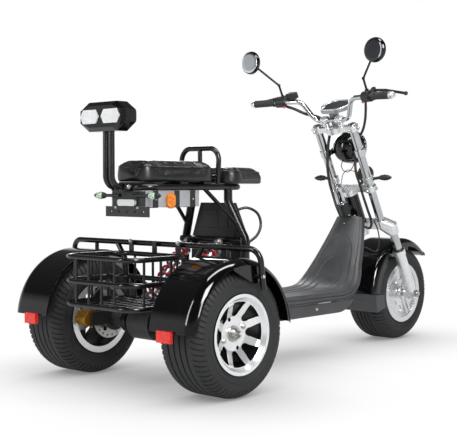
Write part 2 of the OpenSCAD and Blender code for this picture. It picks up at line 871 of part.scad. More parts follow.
module fork_bridge() {
    color("#d5d7d9") forked() difference() {
        union() {
            translate([-axis_back, 0, bridge_low + 20]) cylinder(h = mid_yoke_w + yoke_t / 2 - bridge_low - 20, r = stem_r);
            translate([-axis_back, 0, bridge_low + 20]) cylinder(h = bridge_top - bridge_low - 20, r = stem_r + 12);
            both() hull() {
                translate([leg_x, leg_y, bridge_low]) cylinder(h = 46, r = tube_r + clamp_wall, $fn = 32);
                translate([tube_x, tube_y, bridge_top - 30]) cylinder(h = 30, r = tube_r + clamp_wall, $fn = 32);
            }
            translate([-axis_back, -tube_y, bridge_top - 34]) cube([tube_x + axis_back + 14, 2 * tube_y, 34]);
        }
        tube_bores(tube_r + seat_gap);
    }
}

module yoke_outline(back) {
    for (s = [-1, 1]) translate([tube_x, s * tube_y]) circle(tube_r + clamp_wall);
    translate([tube_x - 16, -tube_y]) square([30, 2 * tube_y]);
    translate([back, 0]) circle(stem_r + 13);
    translate([back, -stem_r - 13]) square([tube_x - back, 2 * stem_r + 26]);
}

bar_rise = 45;
bar_w = top_yoke_w + bar_rise;
bar_x0 = -13;
riser_y = 40;
riser_r = 15;

module yokes() {
    color("#cfd1d3") forked() difference() {
        union() {
            translate([0, 0, mid_yoke_w - yoke_t / 2]) linear_extrude(yoke_t) yoke_outline(-axis_back);
            translate([0, 0, top_yoke_w - yoke_t / 2]) linear_extrude(yoke_t) yoke_outline(tube_x - 10);
            both() translate([bar_x0, riser_y, top_yoke_w]) cylinder(h = bar_w - top_yoke_w, r = riser_r - 2);
            both() translate([bar_x0, riser_y - riser_r, bar_w]) rotate([-90, 0, 0]) cylinder(h = 2 * riser_r, r = bar_d / 2 + 8);
        }
        both() translate([tube_x, tube_y, mid_yoke_w - 50]) cylinder(h = 1000, r = tube_r + seat_gap);
        translate([-axis_back, 0, mid_yoke_w - 50]) cylinder(h = 100, r = stem_r + seat_gap);
        translate([bar_x0, -200, bar_w]) rotate([-90, 0, 0]) cylinder(h = 400, r = bar_d / 2 + seat_gap);
    }
}

module fork_tubes() {
    color("#dfe1e3") forked() both() {
        translate([tube_x, tube_y, bridge_low + 46]) cylinder(h = tube_top - bridge_low - 46, r = tube_r);
        translate([leg_x, leg_y, slider_top + seat_gap]) cylinder(h = bridge_low + 40 - slider_top, r = tube_r);
    }
}

fender_boss_w = 216;
lug_r = 23;
lug_proud = 1;

module fork_sliders() {
    color("#d0d2d4") forked() both() difference() {
        union() {
            translate([leg_x, leg_y, slider_low]) cylinder(h = slider_top - slider_low, r = leg_r);
            translate([leg_x, leg_y, slider_top - 26]) cylinder(h = 26, r = leg_r + 3);
            translate([0, leg_y - leg_r - lug_proud, 0]) rotate([-90, 0, 0])
                cylinder(h = 2 * (leg_r + lug_proud), r = lug_r);
            translate([leg_x - 14, front_fender_half, fender_boss_w]) rotate([-90, 0, 0])
                cylinder(h = leg_y - front_fender_half, r = 9);
        }
        rotate([-90, 0, 0]) cylinder(h = axle_half_f, r = axle_r + seat_gap);
    }
}

axle_r = 10;
axle_half_f = leg_y + leg_r + lug_proud + 18;
front_hub_half = front_tyre_w / 2 - 2;

module front_axle() {
    color("#a9abae") forked() {
        translate([0, -axle_half_f, 0]) rotate([-90, 0, 0]) cylinder(h = 2 * axle_half_f, r = axle_r);
        both() {
            translate([0, leg_y + leg_r + lug_proud + seat_gap, 0]) rotate([-90, 0, 0])
                cylinder(h = 12, r = 17, $fn = 6);
            translate([0, front_hub_half + 2, 0]) rotate([-90, 0, 0])
                cylinder(h = leg_y - leg_r - lug_proud - front_hub_half - 2 - seat_gap, r = 15);
        }
    }
}

// Front brake: caliper on the left leg, inside the open side of the wheel

front_disc_r = 82;
front_disc_y = 58;

module front_caliper() {
    color("#2b2c2f") forked() difference() {
        union() {
            translate([-112, front_disc_y - 24, 34]) cube([48, 48, 60]);
            translate([-84, front_disc_y + 12, 44]) cube([90, 16, 34]);
            translate([-26, front_disc_y + 12, 44]) cube([44, leg_y - leg_r - front_disc_y - 8, 34]);
        }
        rotate([-90, 0, 0]) translate([0, 0, front_disc_y - 8]) cylinder(h = 16, r = front_disc_r + 5.5);
        translate([leg_x, leg_y, 0]) cylinder(h = 300, r = leg_r + seat_gap);
        difference() {
            rotate([-90, 0, 0]) cylinder(h = 86, r = 400);
            rotate([-90, 0, 0]) cylinder(h = 86, r = bead_r - 15);
        }
    }
}

// Front fender: skin over the wheel with side skirts, its front lip kicked up

front_roll = 30;
// Skirts: their lower edge ahead of and behind the fork, and the angles where they change and end
skirt_front_r = front_fender_r - 34;
skirt_back_r = front_fender_r - 57;
skirt_step = 84;
skirt_end = 178;

module front_fender_section(skirt_r) {
    c = front_fender_r - front_roll;
    h = front_fender_half;
    translate([front_fender_r - skin_t, front_roll - h]) square([skin_t, 2 * (h - front_roll)]);
    for (s = [-1, 1]) {
        translate([c, s * (h - front_roll)]) intersection() {
            difference() {
                circle(front_roll);
                circle(front_roll - skin_t);
            }
            translate([0, s > 0 ? 0 : -front_roll]) square([front_roll, front_roll]);
        }
        translate([skirt_r, s > 0 ? h - skin_t : -h]) square([c - skirt_r, skin_t]);
    }
}

// The lip narrows to a rounded tip
module lip_plan() {
    half = [[120, 90], [185, 76], [225, 68], [260, 53], [285, 35], [300, 17]];
    polygon(concat(half, [[330, 0]], [for (i = [5 : -1 : 0]) [half[i].x, -half[i].y]]));
}

module front_fender() {
    color("#0d0d0e") about_axle(wheelbase) {
        rotate([0, 0, lip_join]) rotate_extrude(angle = skirt_end - lip_join)
            front_fender_section(skirt_front_r);
        rotate([0, 0, skirt_step]) rotate_extrude(angle = skirt_end - skirt_step)
            for (s = [-1, 1]) translate([skirt_back_r, s > 0 ? front_fender_half - skin_t : -front_fender_half])
                square([skirt_front_r - skirt_back_r + skin_t, skin_t]);
        intersection() {
            rotate([0, 0, lip_join]) translate([front_fender_r + lip_r, 0, 0]) rotate([0, 0, 180])
                rotate_extrude(angle = lip_turn) translate([lip_r - bend_full, front_roll - front_fender_half])
                square([skin_t + 2 * bend_full, 2 * (front_fender_half - front_roll)]);
            rotate([-90, 0, 0]) linear_extrude(400) lip_plan();
        }
    }
}

flap_strip_half = front_fender_half - front_roll - 1;
flap_half = front_fender_half + 14;

// Band behind the tyre with a wing along each side of it
module flap_section() {
    translate([front_fender_r - 6, -flap_half]) square([6, 2 * flap_half]);
    for (s = [-1, 1]) translate([front_fender_r - 70, s > 0 ? flap_half - 6 : -flap_half]) square([67, 6]);
}

module mud_flap() {
    color("#4b4c4e") about_axle(wheelbase) {
        rotate([0, 0, skirt_end + 0.3]) rotate_extrude(angle = 18)
            flap_section();
        rotate([0, 0, skirt_end - 12]) rotate_extrude(angle = 14)
            translate([front_fender_r - skin_t - 4, -flap_strip_half]) square([4 - rest_gap, 2 * flap_strip_half]);
    }
}

// Handlebar: bent chrome tube, with grips, switch pods, levers and mirrors

// Points of one half of the bar, in the fork's frame: ahead, out, up
bar_points = [[bar_x0, 92, bar_w], [-16, 142, bar_w + 101], [-39, 271, bar_w + 114],
    [-60, bar_half, bar_w + 121]];
bar_r = bar_d / 2;
pod_a = bar_points[1] + 0.628 * (bar_points[2] - bar_points[1]);
pod_b = bar_points[1] + 0.946 * (bar_points[2] - bar_points[1]);
grip_a = bar_points[2] + 0.06 * (bar_points[3] - bar_points[2]);
grip_r = grip_d / 2;

module handlebar() {
    other = [for (i = [3 : -1 : 0]) [bar_points[i].x, -bar_points[i].y, bar_points[i].z]];
    color("#dfe1e3") forked() pipe(concat(other, bar_points), bar_r, 48);
}

module grips() {
    d = unit(bar_points[3] - bar_points[2]);
    color("#1b1b1c") forked() both() difference() {
        rod(grip_a, bar_points[3] + d * 8, grip_r);
        rod(grip_a - d * 5, bar_points[3] + d * rest_gap, bar_r + seat_gap);
    }
}

module switch_pods() {
    d = unit(bar_points[2] - bar_points[1]);
    color("#19191b") forked() both() difference() {
        union() {
            rod(pod_a, pod_b, 24);
            translate(pod_a + d * 20 + [20, 0, 4]) rotate([0, 90, 0]) cylinder(h = 28, r = 13);
            translate([-18, 237, bar_w + 110]) cylinder(h = 28, r = 9);
        }
        rod(bar_points[1], bar_points[2] + d * 10, bar_r + seat_gap);
    }
}

module brake_levers() {
    root = pod_a + unit(bar_points[2] - bar_points[1]) * 20 + [48 + rest_gap, 0, 4];
    color("#1c1c1e") forked() both() {
        translate(root + [10, 0, -12]) cylinder(h = 24, r = 10);
        pipe([root + [10, 0, 0], root + [10, 60, -4], [-6, 420, bar_w + 102]], 6, 40);
        translate([-6, 420, bar_w + 102]) sphere(9);
    }
}

mirror_c = [-31, 347, bar_w + 317];
mirror_foot = [-18, 237, bar_w + 138];
mirror_bend = mirror_foot + [0, 0, 52];
mirror_r = mirror_d / 2;
mirror_rod_r = 5;

module mirrors() {
    color("#202123") forked() both() {
        rod(mirror_foot, mirror_bend, mirror_rod_r);
        rod(mirror_bend, mirror_c - unit(mirror_c - mirror_bend) * mirror_r / 2, mirror_rod_r);
        translate(mirror_bend) sphere(mirror_rod_r + 2.5);
        translate(mirror_c) rotate([0, rake, 0]) rotate([0, -90, 0]) translate([0, 0, -12])
            rotate_extrude() polygon([[0, 0], [mirror_r - 12, 0], [mirror_r - 4, 3], [mirror_r, 9],
                [mirror_r, 14], [mirror_r - 2, 20], [mirror_r - 7, 24], [0, 24]]);
    }
}

// Headlamp: bowl between the fork tubes with an ear to each tube

lamp_drop = 122;
lamp_w = top_yoke_w - lamp_drop;
lamp_x = 46;
lamp_r = lamp_d / 2;

module lamp_frame() {
    forked() translate([lamp_x, 0, lamp_w]) rotate([0, rake, 0]) rotate([0, 90, 0]) children();
}

module headlamp() {
    color("#121314") difference() {
        union() {
            lamp_frame() intersection() {
                sphere(lamp_r);
                translate([0, 0, -lamp_r]) cylinder(h = lamp_r, r = lamp_r);
            }
            lamp_frame() cylinder(h = 34, r = lamp_r);
            forked() both() {
                translate([tube_x, tube_y, lamp_w - 16]) cylinder(h = 32, r = tube_r + 5);
                translate([tube_x, lamp_r - 14, lamp_w - 8]) cube([lamp_x - tube_x, tube_y - tube_r - lamp_r + 16, 16]);
            }
        }
        lamp_frame() translate([0, 0, 12]) cylinder(h = 40, r = lamp_r - 5);
        forked() both() translate([tube_x, tube_y, lamp_w - 200]) cylinder(h = 400, r = tube_r + seat_gap);
    }
}

module headlamp_lens() {
    color("#dfe6ea") lamp_frame() intersection() {
        translate([0, 0, 12]) cylinder(h = 40, r = lamp_r - 5 - seat_gap);
        translate([0, 0, 46 - 180]) sphere(180);
    }
}

// Front indicators: pointed ovals on stalks from a clamp on each fork tube

signal_w = mid_yoke_w + 45;

module front_indicators() {
    color("#1d1e20") forked() both() difference() {
        union() {
            translate([tube_x, tube_y, signal_w - 13]) cylinder(h = 26, r = tube_r + 6);
            rod([tube_x, tube_y, signal_w], [0, 156, signal_w + 4], 7);
            translate([0, 146, signal_w + 4]) rotate([-90, 0, 0]) lens_body(72, 14);
        }
        translate([tube_x, tube_y, 0]) cylinder(h = 1000, r = tube_r + seat_gap);
    }
}

// Dashboard: oval clock housing on a bracket over the handlebar

dash_rise = 32;
dash_t = 16;
dash_w = bar_w + dash_rise;

module dashboard() {
    color("#8d9093") forked() {
        translate([42, 0, dash_w]) linear_extrude(dash_t) {
            for (s = [-1, 1]) translate([0, s * 20]) circle(58);
            translate([-58, -20]) square([116, 40]);
        }
        translate([6, -24, top_yoke_w + yoke_t / 2 + seat_gap]) cube([9, 48, dash_w - top_yoke_w - yoke_t / 2]);
    }
}

// Horn: disc on a strap from the middle yoke

horn_w = mid_yoke_w + 44;
horn_foot = mid_yoke_w + yoke_t / 2 + seat_gap;

module horn() {
    color("#1a1b1d") forked() {
        translate([50, -35, horn_w]) rotate([0, rake, 0]) rotate([0, 90, 0]) {
            cylinder(h = 26, r = 37);
            translate([0, 0, -16]) cylinder(h = 16, r = 14);
        }
        translate([2, -45, horn_foot]) cube([42, 20, 5]);
        translate([38, -45, horn_foot]) cube([6, 20, horn_w - horn_foot + 8]);
    }
}

// Wheels

module front_tyre() {
    color("#1e1f20") about_axle(wheelbase) rotate_extrude() tyre_section(front_tyre_w, 52);
}

module tyre_section(w, c) {
    crowned(flange_r + rest_gap, wheel_r, w, c);
    translate([bead_r, 12 - w / 2]) square([flange_r + 1 - bead_r, w - 24]);
}

module rim_section(w) {
    half = w / 2 - 4;
    translate([bead_r - 9, -half]) square([9 - rest_gap, 2 * half]);
    for (s = [-1, 1]) translate([bead_r - 9, s > 0 ? half - 7.7 : -half]) square([flange_r - bead_r + 9, 7.7]);
}

module front_rim() {
    face = front_tyre_w / 2 - 4;
    color("#c9cbcd") about_axle(wheelbase) difference() {
        union() {
            rotate_extrude() rim_section(front_tyre_w);
            rotate_extrude() polygon([[0, face - 26], [0, face - 6], [40, face - 6], [96, face - 10],
                [bead_r - 8, face - 3], [bead_r - 8, face - 17], [92, face - 24]]);
            for (a = [60 : 120 : 300], s = [-1, 1]) rotate([0, 0, a]) translate([26, s * 13 - 6, face - 22])
                cube([bead_r - 9 - 26, 12, 19]);
            translate([0, 0, -front_hub_half]) cylinder(h = 2 * front_hub_half, r = 30);
            translate([0, 0, -front_disc_y - 2.5]) cylinder(h = 5, r = front_disc_r);
        }
        translate([0, 0, -200]) cylinder(h = 400, r = axle_r + run_gap);
        for (a = [0 : 60 : 300]) rotate([0, 0, a + 30]) translate([58, 0, -front_disc_y - 10]) cylinder(h = 20, r = 13);
        for (a = [0 : 120 : 240]) rotate([0, 0, a]) translate([0, 0, face - 12]) linear_extrude(40)
            for (s = [-1, 1]) translate([78, s * 22]) circle(17);
    }
}

module rear_tyre_right() {
    color("#1e1f20") about_axle(0) translate([0, 0, rear_y]) rotate_extrude() tyre_section(rear_tyre_w, 44);
}

module rear_tyre_left() {
    mirror([0, 1, 0]) rear_tyre_right();
}

hub_face = 55;
hub_back = 38;

module window_outline() {
    intersection() {
        difference() {
            circle(bead_r - 12);
            circle(60);
        }
        union() {
            translate([77, 0]) circle(16);
            polygon([[77, -16], [77, 16], [140, 46], [140, -46]]);
        }
    }
}

module rear_rim_right() {
    lip = rear_tyre_w / 2 - 4;
    color("#d9dbdc") about_axle(0) translate([0, 0, rear_y]) difference() {
        union() {
            rotate_extrude() rim_section(rear_tyre_w);
            rotate_extrude() polygon([[0, hub_back], [0, hub_face], [60, hub_face], [104, 78],
                [bead_r - 8, lip - 8], [bead_r - 8, lip - 26], [100, 60], [60, hub_back]]);
        }
        for (i = [0 : rear_spokes - 1]) rotate([0, 0, i * 360 / rear_spokes]) linear_extrude(200) window_outline();
        for (a = [0 : 90 : 270]) rotate([0, 0, a + 22.5]) translate([lug_pcd / 2, 0, 0]) cylinder(h = 200, r = 7);
        cylinder(h = 200, r = 28);
        rotate_extrude() polygon([[0, lip - 14], [bead_r - 9, lip - 14], [flange_r - 11, lip + 1], [0, lip + 1]]);
    }
}

module rear_rim_left() {
    mirror([0, 1, 0]) rear_rim_right();
}

module rear_hub_right() {
    color("#a8aaad") about_axle(0) difference() {
        union() {
            translate([0, 0, 130]) cylinder(h = rear_y + hub_back - 130, r = shaft_r);
            translate([0, 0, rear_y + hub_back - 14]) cylinder(h = 14 - seat_gap, r = 66);
            translate([0, 0, rear_y]) cylinder(h = hub_face + 4, r = 28 - seat_gap);
            translate([0, 0, rear_y]) cylinder(h = hub_face + 22, r = 19);
            translate([0, 0, brake_y - 8]) cylinder(h = 16, r = 34);
            translate([0, 0, brake_y - brake_t / 2]) cylinder(h = brake_t, r = brake_r);
        }
        for (a = [0 : 60 : 300]) rotate([0, 0, a]) translate([47, 0, brake_y - 20]) cylinder(h = 40, r = 9);
        for (a = [0 : 20 : 340]) rotate([0, 0, a]) translate([68, 0, brake_y - 20]) cylinder(h = 40, r = 4);
        for (a = [0, 60, 120]) rotate([0, 0, a]) translate([-40, -3.5, rear_y + hub_face + 12]) cube([80, 7, 20]);
    }
}

module rear_hub_left() {
    mirror([0, 1, 0]) rear_hub_right();
}

place() main_frame();
place() seat_frame();
place() deck_tray();
place() footboard();
place() key_lock();
place() controller_box();
place() seat_box();
place() seat_front();
place() seat_rear();
place() grab_hoop();
place() backrest_posts();
place() backrest_shell();
place() backrest_pad();
place() backrest_plates();
place() tail_bracket();
place() tail_lens();
place() rear_indicators();
place() side_reflectors();
place() rear_reflectors();
place() rear_fender_left();
place() rear_fender_right();
place() fender_bar();
place() basket();
place() rear_axle();
place() drive_motor();
place() rear_calipers();
place() swing_arm();
place() shock_absorbers();
place() shock_springs();
place() fork_bridge();
place() yokes();
place() fork_tubes();
place() fork_sliders();
place() front_axle();
place() front_caliper();
place() front_fender();
place() mud_flap();
place() handlebar();
place() grips();
place() switch_pods();
place() brake_levers();
place() mirrors();
place() headlamp();
place() headlamp_lens();
place() front_indicators();
place() dashboard();
place() horn();
place() front_tyre();
place() front_rim();
place() rear_tyre_left();
place() rear_tyre_right();
place() rear_rim_left();
place() rear_rim_right();
place() rear_hub_left();
place() rear_hub_right();
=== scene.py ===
import json
import math

import bmesh
import bpy
import numpy as np
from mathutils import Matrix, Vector
from mathutils.bvhtree import BVHTree


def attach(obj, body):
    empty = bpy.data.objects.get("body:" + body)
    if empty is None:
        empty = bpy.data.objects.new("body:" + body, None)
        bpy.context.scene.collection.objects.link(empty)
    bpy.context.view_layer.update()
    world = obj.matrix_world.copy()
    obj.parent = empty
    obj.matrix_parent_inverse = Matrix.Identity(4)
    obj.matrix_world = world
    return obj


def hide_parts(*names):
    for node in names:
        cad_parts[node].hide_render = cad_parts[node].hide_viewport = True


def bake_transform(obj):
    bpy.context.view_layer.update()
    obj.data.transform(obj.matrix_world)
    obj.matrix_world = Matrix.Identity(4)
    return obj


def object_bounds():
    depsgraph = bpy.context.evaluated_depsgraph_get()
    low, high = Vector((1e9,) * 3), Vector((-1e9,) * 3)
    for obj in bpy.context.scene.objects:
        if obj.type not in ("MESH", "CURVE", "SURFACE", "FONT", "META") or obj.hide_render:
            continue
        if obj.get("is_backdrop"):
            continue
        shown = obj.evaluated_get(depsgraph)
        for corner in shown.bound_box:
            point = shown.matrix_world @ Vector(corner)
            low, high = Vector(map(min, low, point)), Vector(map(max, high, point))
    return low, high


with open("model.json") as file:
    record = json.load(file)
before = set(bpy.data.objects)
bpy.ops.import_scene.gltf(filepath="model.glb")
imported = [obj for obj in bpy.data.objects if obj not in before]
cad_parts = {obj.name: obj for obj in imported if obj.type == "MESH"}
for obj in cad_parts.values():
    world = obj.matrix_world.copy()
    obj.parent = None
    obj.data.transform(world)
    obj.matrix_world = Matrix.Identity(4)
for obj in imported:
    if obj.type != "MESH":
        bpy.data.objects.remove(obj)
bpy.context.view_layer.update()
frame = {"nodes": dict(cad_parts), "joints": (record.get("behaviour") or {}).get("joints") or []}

# Camera: behind the scooter on its right, at hip height, with a long lens as for a catalogue picture.
# Its lens comes from a focal length in pixels of the 457 pixel wide frame.
# Places are given in millimetres ahead of the rear axle, to the left, and above the ground.
rear_axle = Vector(next(j["pos_m"] for j in frame["joints"] if j["name"] == "rear_left_spin"))
front_axle = Vector(next(j["pos_m"] for j in frame["joints"] if j["name"] == "front_wheel_spin"))


def at(x, y, z):
    return Vector((rear_axle.x + x / 1000, y / 1000, z / 1000))


photo_width_px, focal_px = 457, 1033.65
camera = bpy.data.objects.new("studio_camera", bpy.data.cameras.new("studio_camera"))
camera.data.sensor_width = 36
camera.data.lens = focal_px * camera.data.sensor_width / photo_width_px
camera.location = at(-2646.2, -2849.7, 742)
camera.rotation_euler = [math.radians(a) for a in (88.184, 0, -47.288)]
bpy.context.collection.objects.link(camera)
bpy.context.scene.camera = camera
bpy.context.scene.view_settings.view_transform = "Standard"


# Studio: a white sheet under the scooter, a white backdrop beyond it, grey walls and a dark ceiling.
# The sheet glows white where it is seen, with a painted shadow under the scooter that its ambient occlusion
# darkens;
# metal, lacquer and glass see the backdrop, four soft boxes and a card that leaves matt faces unlit.
def linear(code):
    parts = [int(code[i:i + 2], 16) / 255 for i in (1, 3, 5)]
    return (*[c / 12.92 if c <= 0.04045 else ((c + 0.055) / 1.055) ** 2.4 for c in parts], 1.0)


def add(tree, kind, values={}, links={}):
    made = tree.nodes.new("ShaderNode" + kind)
    for key, value in values.items():
        if isinstance(key, int) or key in made.inputs:
            made.inputs[key].default_value = value
        else:
            setattr(made, key, value)
    for key, source in links.items():
        tree.links.new(source, made.inputs[key])
    return made


def shown_rays(tree):
    """Rays straight from the camera, and those with the ones through glass and off glossy faces added."""
    path = add(tree, "LightPath")
    straight = shown = path.outputs["Is Camera Ray"]
    for kind in ("Is Transmission Ray", "Is Glossy Ray"):
        both = add(tree, "Math", {"operation": "ADD", "use_clamp": True}, {0: shown, 1: path.outputs[kind]})
        shown = both.outputs[0]
    return straight, shown


room = bpy.data.worlds.new("white_room")
bpy.context.scene.world = room
room.use_nodes = True
tree = room.node_tree
tree.nodes.clear()
straight, seen = shown_rays(tree)
dim = add(tree, "Background", {"Color": linear("#fbfcff"), "Strength": 0.42})
way = add(tree, "TexCoord").outputs["Generated"]
height = add(tree, "SeparateXYZ", {}, {0: way})
ceiling = add(tree, "MapRange", {"From Min": 0.21, "From Max": 0.36, "To Min": 1.0, "To Max": 0.1},
              {"Value": height.outputs["Z"]})
beyond = add(tree, "VectorMath", {"operation": "DOT_PRODUCT", 1: (0.735, 0.678, 0.0)}, {0: way})
backdrop = add(tree, "MapRange", {"From Min": -0.3, "From Max": 0.4, "To Min": 0.4, "To Max": 1.0},
               {"Value": beyond.outputs["Value"]})
walls = add(tree, "Math", {"operation": "MULTIPLY"},
            {0: ceiling.outputs["Result"], 1: backdrop.outputs["Result"]})
white = add(tree, "Math", {"operation": "MAXIMUM"}, {0: walls.outputs[0], 1: straight})
bright = add(tree, "Background", {"Color": linear("#ffffff")}, {"Strength": white.outputs[0]})
mixed = add(tree, "MixShader", {}, {0: seen, 1: dim.outputs[0], 2: bright.outputs[0]})
add(tree, "OutputWorld", {}, {"Surface": mixed.outputs[0]})

paper = bpy.data.materials.new("paper_sheet_white")
paper.use_nodes = True
tree = paper.node_tree
tree.nodes.clear()
_, seen = shown_rays(tree)
plain = add(tree, "BsdfDiffuse", {"Color": linear("#f4f4f4")})
# Painted shadow: the sheet's white glow is dimmed where ambient occlusion finds the scooter close above it.
open_sky = add(tree, "AmbientOcclusion", {"samples": 24, "Distance": 0.55})
shade = add(tree, "MapRange", {"From Min": 0.1, "From Max": 0.97, "To Min": 0.22, "To Max": 1.0},
            {"Value": open_sky.outputs["AO"]})
shown = add(tree, "Emission", {"Color": linear("#ffffff")}, {"Strength": shade.outputs["Result"]})
mixed = add(tree, "MixShader", {}, {0: seen, 1: plain.outputs[0], 2: shown.outputs[0]})
add(tree, "OutputMaterial", {}, {"Surface": mixed.outputs[0]})

sheet_sides_m, sheet_z_m = (-30, 30), -0.0004
sheet_mesh = bpy.data.meshes.new("paper_sheet")
sheet_mesh.from_pydata([(x, y, sheet_z_m) for x in sheet_sides_m for y in sheet_sides_m], [], [(0, 2, 3, 1)])
sheet_mesh.materials.append(paper)
paper_sheet = bpy.data.objects.new("paper_sheet", sheet_mesh)
bpy.context.collection.objects.link(paper_sheet)
paper_sheet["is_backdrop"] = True

# Columns: name, place, what it points at, width and height in metres, power in watts, lights matt faces too
soft_boxes = [
    ("box_overhead", (-0.3, -0.6, 2.9), (0.0, 0.0, 0.4), 2.4, 0.55, 60, True),
    ("box_right", (-1.9, -2.9, 1.9), (-0.5, -0.3, 0.4), 0.45, 1.8, 42, True),
    ("box_behind", (-3.1, 0.9, 1.6), (-0.7, 0.0, 0.4), 0.5, 1.6, 30, True),
    ("box_front_left", (1.9, 2.6, 2.2), (0.3, 0.0, 0.6), 0.6, 1.6, 30, True),
    ("card_right", (-1.6, -2.4, 2.4), (-0.5, -0.3, 0.4), 1.1, 1.2, 90, False)]
for name, place, target, width, height, power, matt in soft_boxes:
    lamp = bpy.data.lights.new(name, "AREA")
    lamp.shape, lamp.size, lamp.size_y, lamp.energy = "RECTANGLE", width, height, power
    holder = bpy.data.objects.new(name, lamp)
    holder.location = place
    holder.rotation_euler = (Vector(target) - Vector(place)).to_track_quat("-Z", "Y").to_euler()
    holder.visible_diffuse = matt
    bpy.context.collection.objects.link(holder)


# Frame and tube work: welded steel tube, blasted and coated with gloss black powder.
# Baked powder levels out to a glassy black with a faint orange-peel of a few millimetres.
# The axle, the motor and the front caliper are castings in black enamel.
def surface(name, colour, tone, rough, grain_mm, relief_mm, patch_mm=90, sockets={}):
    """Soft patches of a second tone, an uneven gloss and a fine relief."""
    made = bpy.data.materials.new(name)
    made.use_nodes = True
    tree = made.node_tree
    tree.nodes.clear()
    spot = add(tree, "TexCoord").outputs["Object"]
    patches = add(tree, "TexNoise", {"Scale": 1000 / patch_mm, "Detail": 4.0}, {"Vector": spot})
    tones = add(tree, "ValToRGB", {"name": "tones"}, {"Fac": patches.outputs["Fac"]})
    tones.color_ramp.elements[0].position, tones.color_ramp.elements[1].position = 0.35, 0.65
    tones.color_ramp.elements[0].color, tones.color_ramp.elements[1].color = linear(colour), linear(tone)
    gloss = add(tree, "MapRange", {"name": "gloss", "From Min": 0.3, "From Max": 0.7,
                                   "To Min": rough[0], "To Max": rough[1]},
                {"Value": patches.outputs["Fac"]})
    grit = add(tree, "TexNoise", {"name": "grit", "Scale": 1000 / grain_mm, "Detail": 3.0},
               {"Vector": spot})
    edges = add(tree, "Bevel", {"samples": 4, "Radius": 0.0012})
    relief = add(tree, "Bump", {"name": "relief", "Distance": relief_mm / 1000},
                 {"Height": grit.outputs["Fac"], "Normal": edges.outputs["Normal"]})
    shader = add(tree, "BsdfPrincipled", {"name": "shader", **sockets},
                 {"Base Color": tones.outputs["Color"], "Roughness": gloss.outputs["Result"],
                  "Normal": relief.outputs["Normal"]})
    add(tree, "OutputMaterial", {}, {"Surface": shader.outputs[0]})
    return made


def dress(material, *names):
    for name in names:
        mesh = frame["nodes"][name].data
        mesh.materials.clear()
        mesh.materials.append(material)


powder_black = surface("steel_gloss_black_powder", "#0b0b0c", "#101112", (0.16, 0.26), 3.0, 0.02,
                       sockets={"IOR": 1.48})
dress(powder_black, "main_frame", "seat_frame", "grab_hoop", "backrest_posts", "fender_bar", "basket",
      "swing_arm")

cast_black = surface("cast_steel_black_enamel", "#121314", "#1c1d1e", (0.38, 0.55), 1.6, 0.12,
                     sockets={"IOR": 1.5})
dress(cast_black, "rear_axle", "drive_motor", "front_caliper")

# Deck: a tray under the floor and the footboard over it, both of dark grey moulded polypropylene.
# The footboard is one skin from under the controller up the leg shield, with three sunk arches,
# each inside the last, a raised border and two grooves along its edge.
deck_grey = surface("polypropylene_dark_grey_grained", "#3a3b3d", "#454648", (0.4, 0.52), 1.2, 0.06,
                    sockets={"IOR": 1.49})
dress(deck_grey, "deck_tray")


def piece(name, verts, faces, body, material, slot=None, replaces=(), sharp=35):
    mesh = bpy.data.meshes.new(name)
    mesh.from_pydata([tuple(v) for v in verts], [], [tuple(f) for f in faces])
    shape = bmesh.new()
    shape.from_mesh(mesh)
    bmesh.ops.remove_doubles(shape, verts=shape.verts, dist=2e-6)
    bmesh.ops.recalc_face_normals(shape, faces=shape.faces)
    shape.to_mesh(mesh)
    shape.free()
    mesh.shade_smooth()
    mesh.set_sharp_from_angle(angle=math.radians(sharp))
    mesh.materials.append(material)
    made = bpy.data.objects.new(name, mesh)
    bpy.context.collection.objects.link(made)
    if body:
        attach(made, body)
    if replaces:
        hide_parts(*replaces)
    return made


def grid_faces(rows, columns, row_loop=False, column_loop=False):
    """Quads over a grid of points stored row after row."""
    faces = []
    for i in range(rows if row_loop else rows - 1):
        for j in range(columns if column_loop else columns - 1):
            k, m = (i + 1) % rows, (j + 1) % columns
            faces.append((i * columns + j, i * columns + m, k * columns + m, k * columns + j))
    return faces


def tube_faces(rows, columns):
    """Quads round a tube made of rings, with one flat face over each end."""
    last = (rows - 1) * columns
    ends = [tuple(range(columns)), tuple(range(last, last + columns))]
    return grid_faces(rows, columns, False, True) + ends


def smooth(low, high, value):
    t = min(max((value - low) / (high - low), 0.0), 1.0)
    return t * t * (3 - 2 * t)


# Columns: place, height, half width, fall of the edges, thickness
shield = np.array([
    (372, 280, 160, 0, 44), (490, 280, 160, 0, 44), (700, 280, 160, 0, 44), (940, 278, 160, 2, 39),
    (1010, 282, 160, 6, 40), (1055, 293, 160, 12, 36), (1092, 318, 157, 18, 32), (1118, 352, 147, 22, 30),
    (1142, 396, 132, 25, 28), (1172, 446, 118, 26, 28), (1202, 500, 102, 26, 28), (1230, 552, 86, 24, 28),
    (1255, 602, 70, 20, 28)], float)
run = np.concatenate([[0], np.cumsum(np.hypot(np.diff(shield[:, 0]), np.diff(shield[:, 1])))])
slopes = np.gradient(shield, run, axis=0)
slopes[0] = slopes[1] = (shield[1] - shield[0]) / (run[1] - run[0])
# Columns: place where the arch ends, its share of the half width
arches = [(1213, 0.70), (1155, 0.44), (1101, 0.21)]
arch_deep, arch_slope, arch_rise = 2.2, 6.0, 1.25
border_high, border_slope, border_share = 1.8, 5.0, 0.86
relief_from, relief_full, fall_power = 505, 545, 2.5
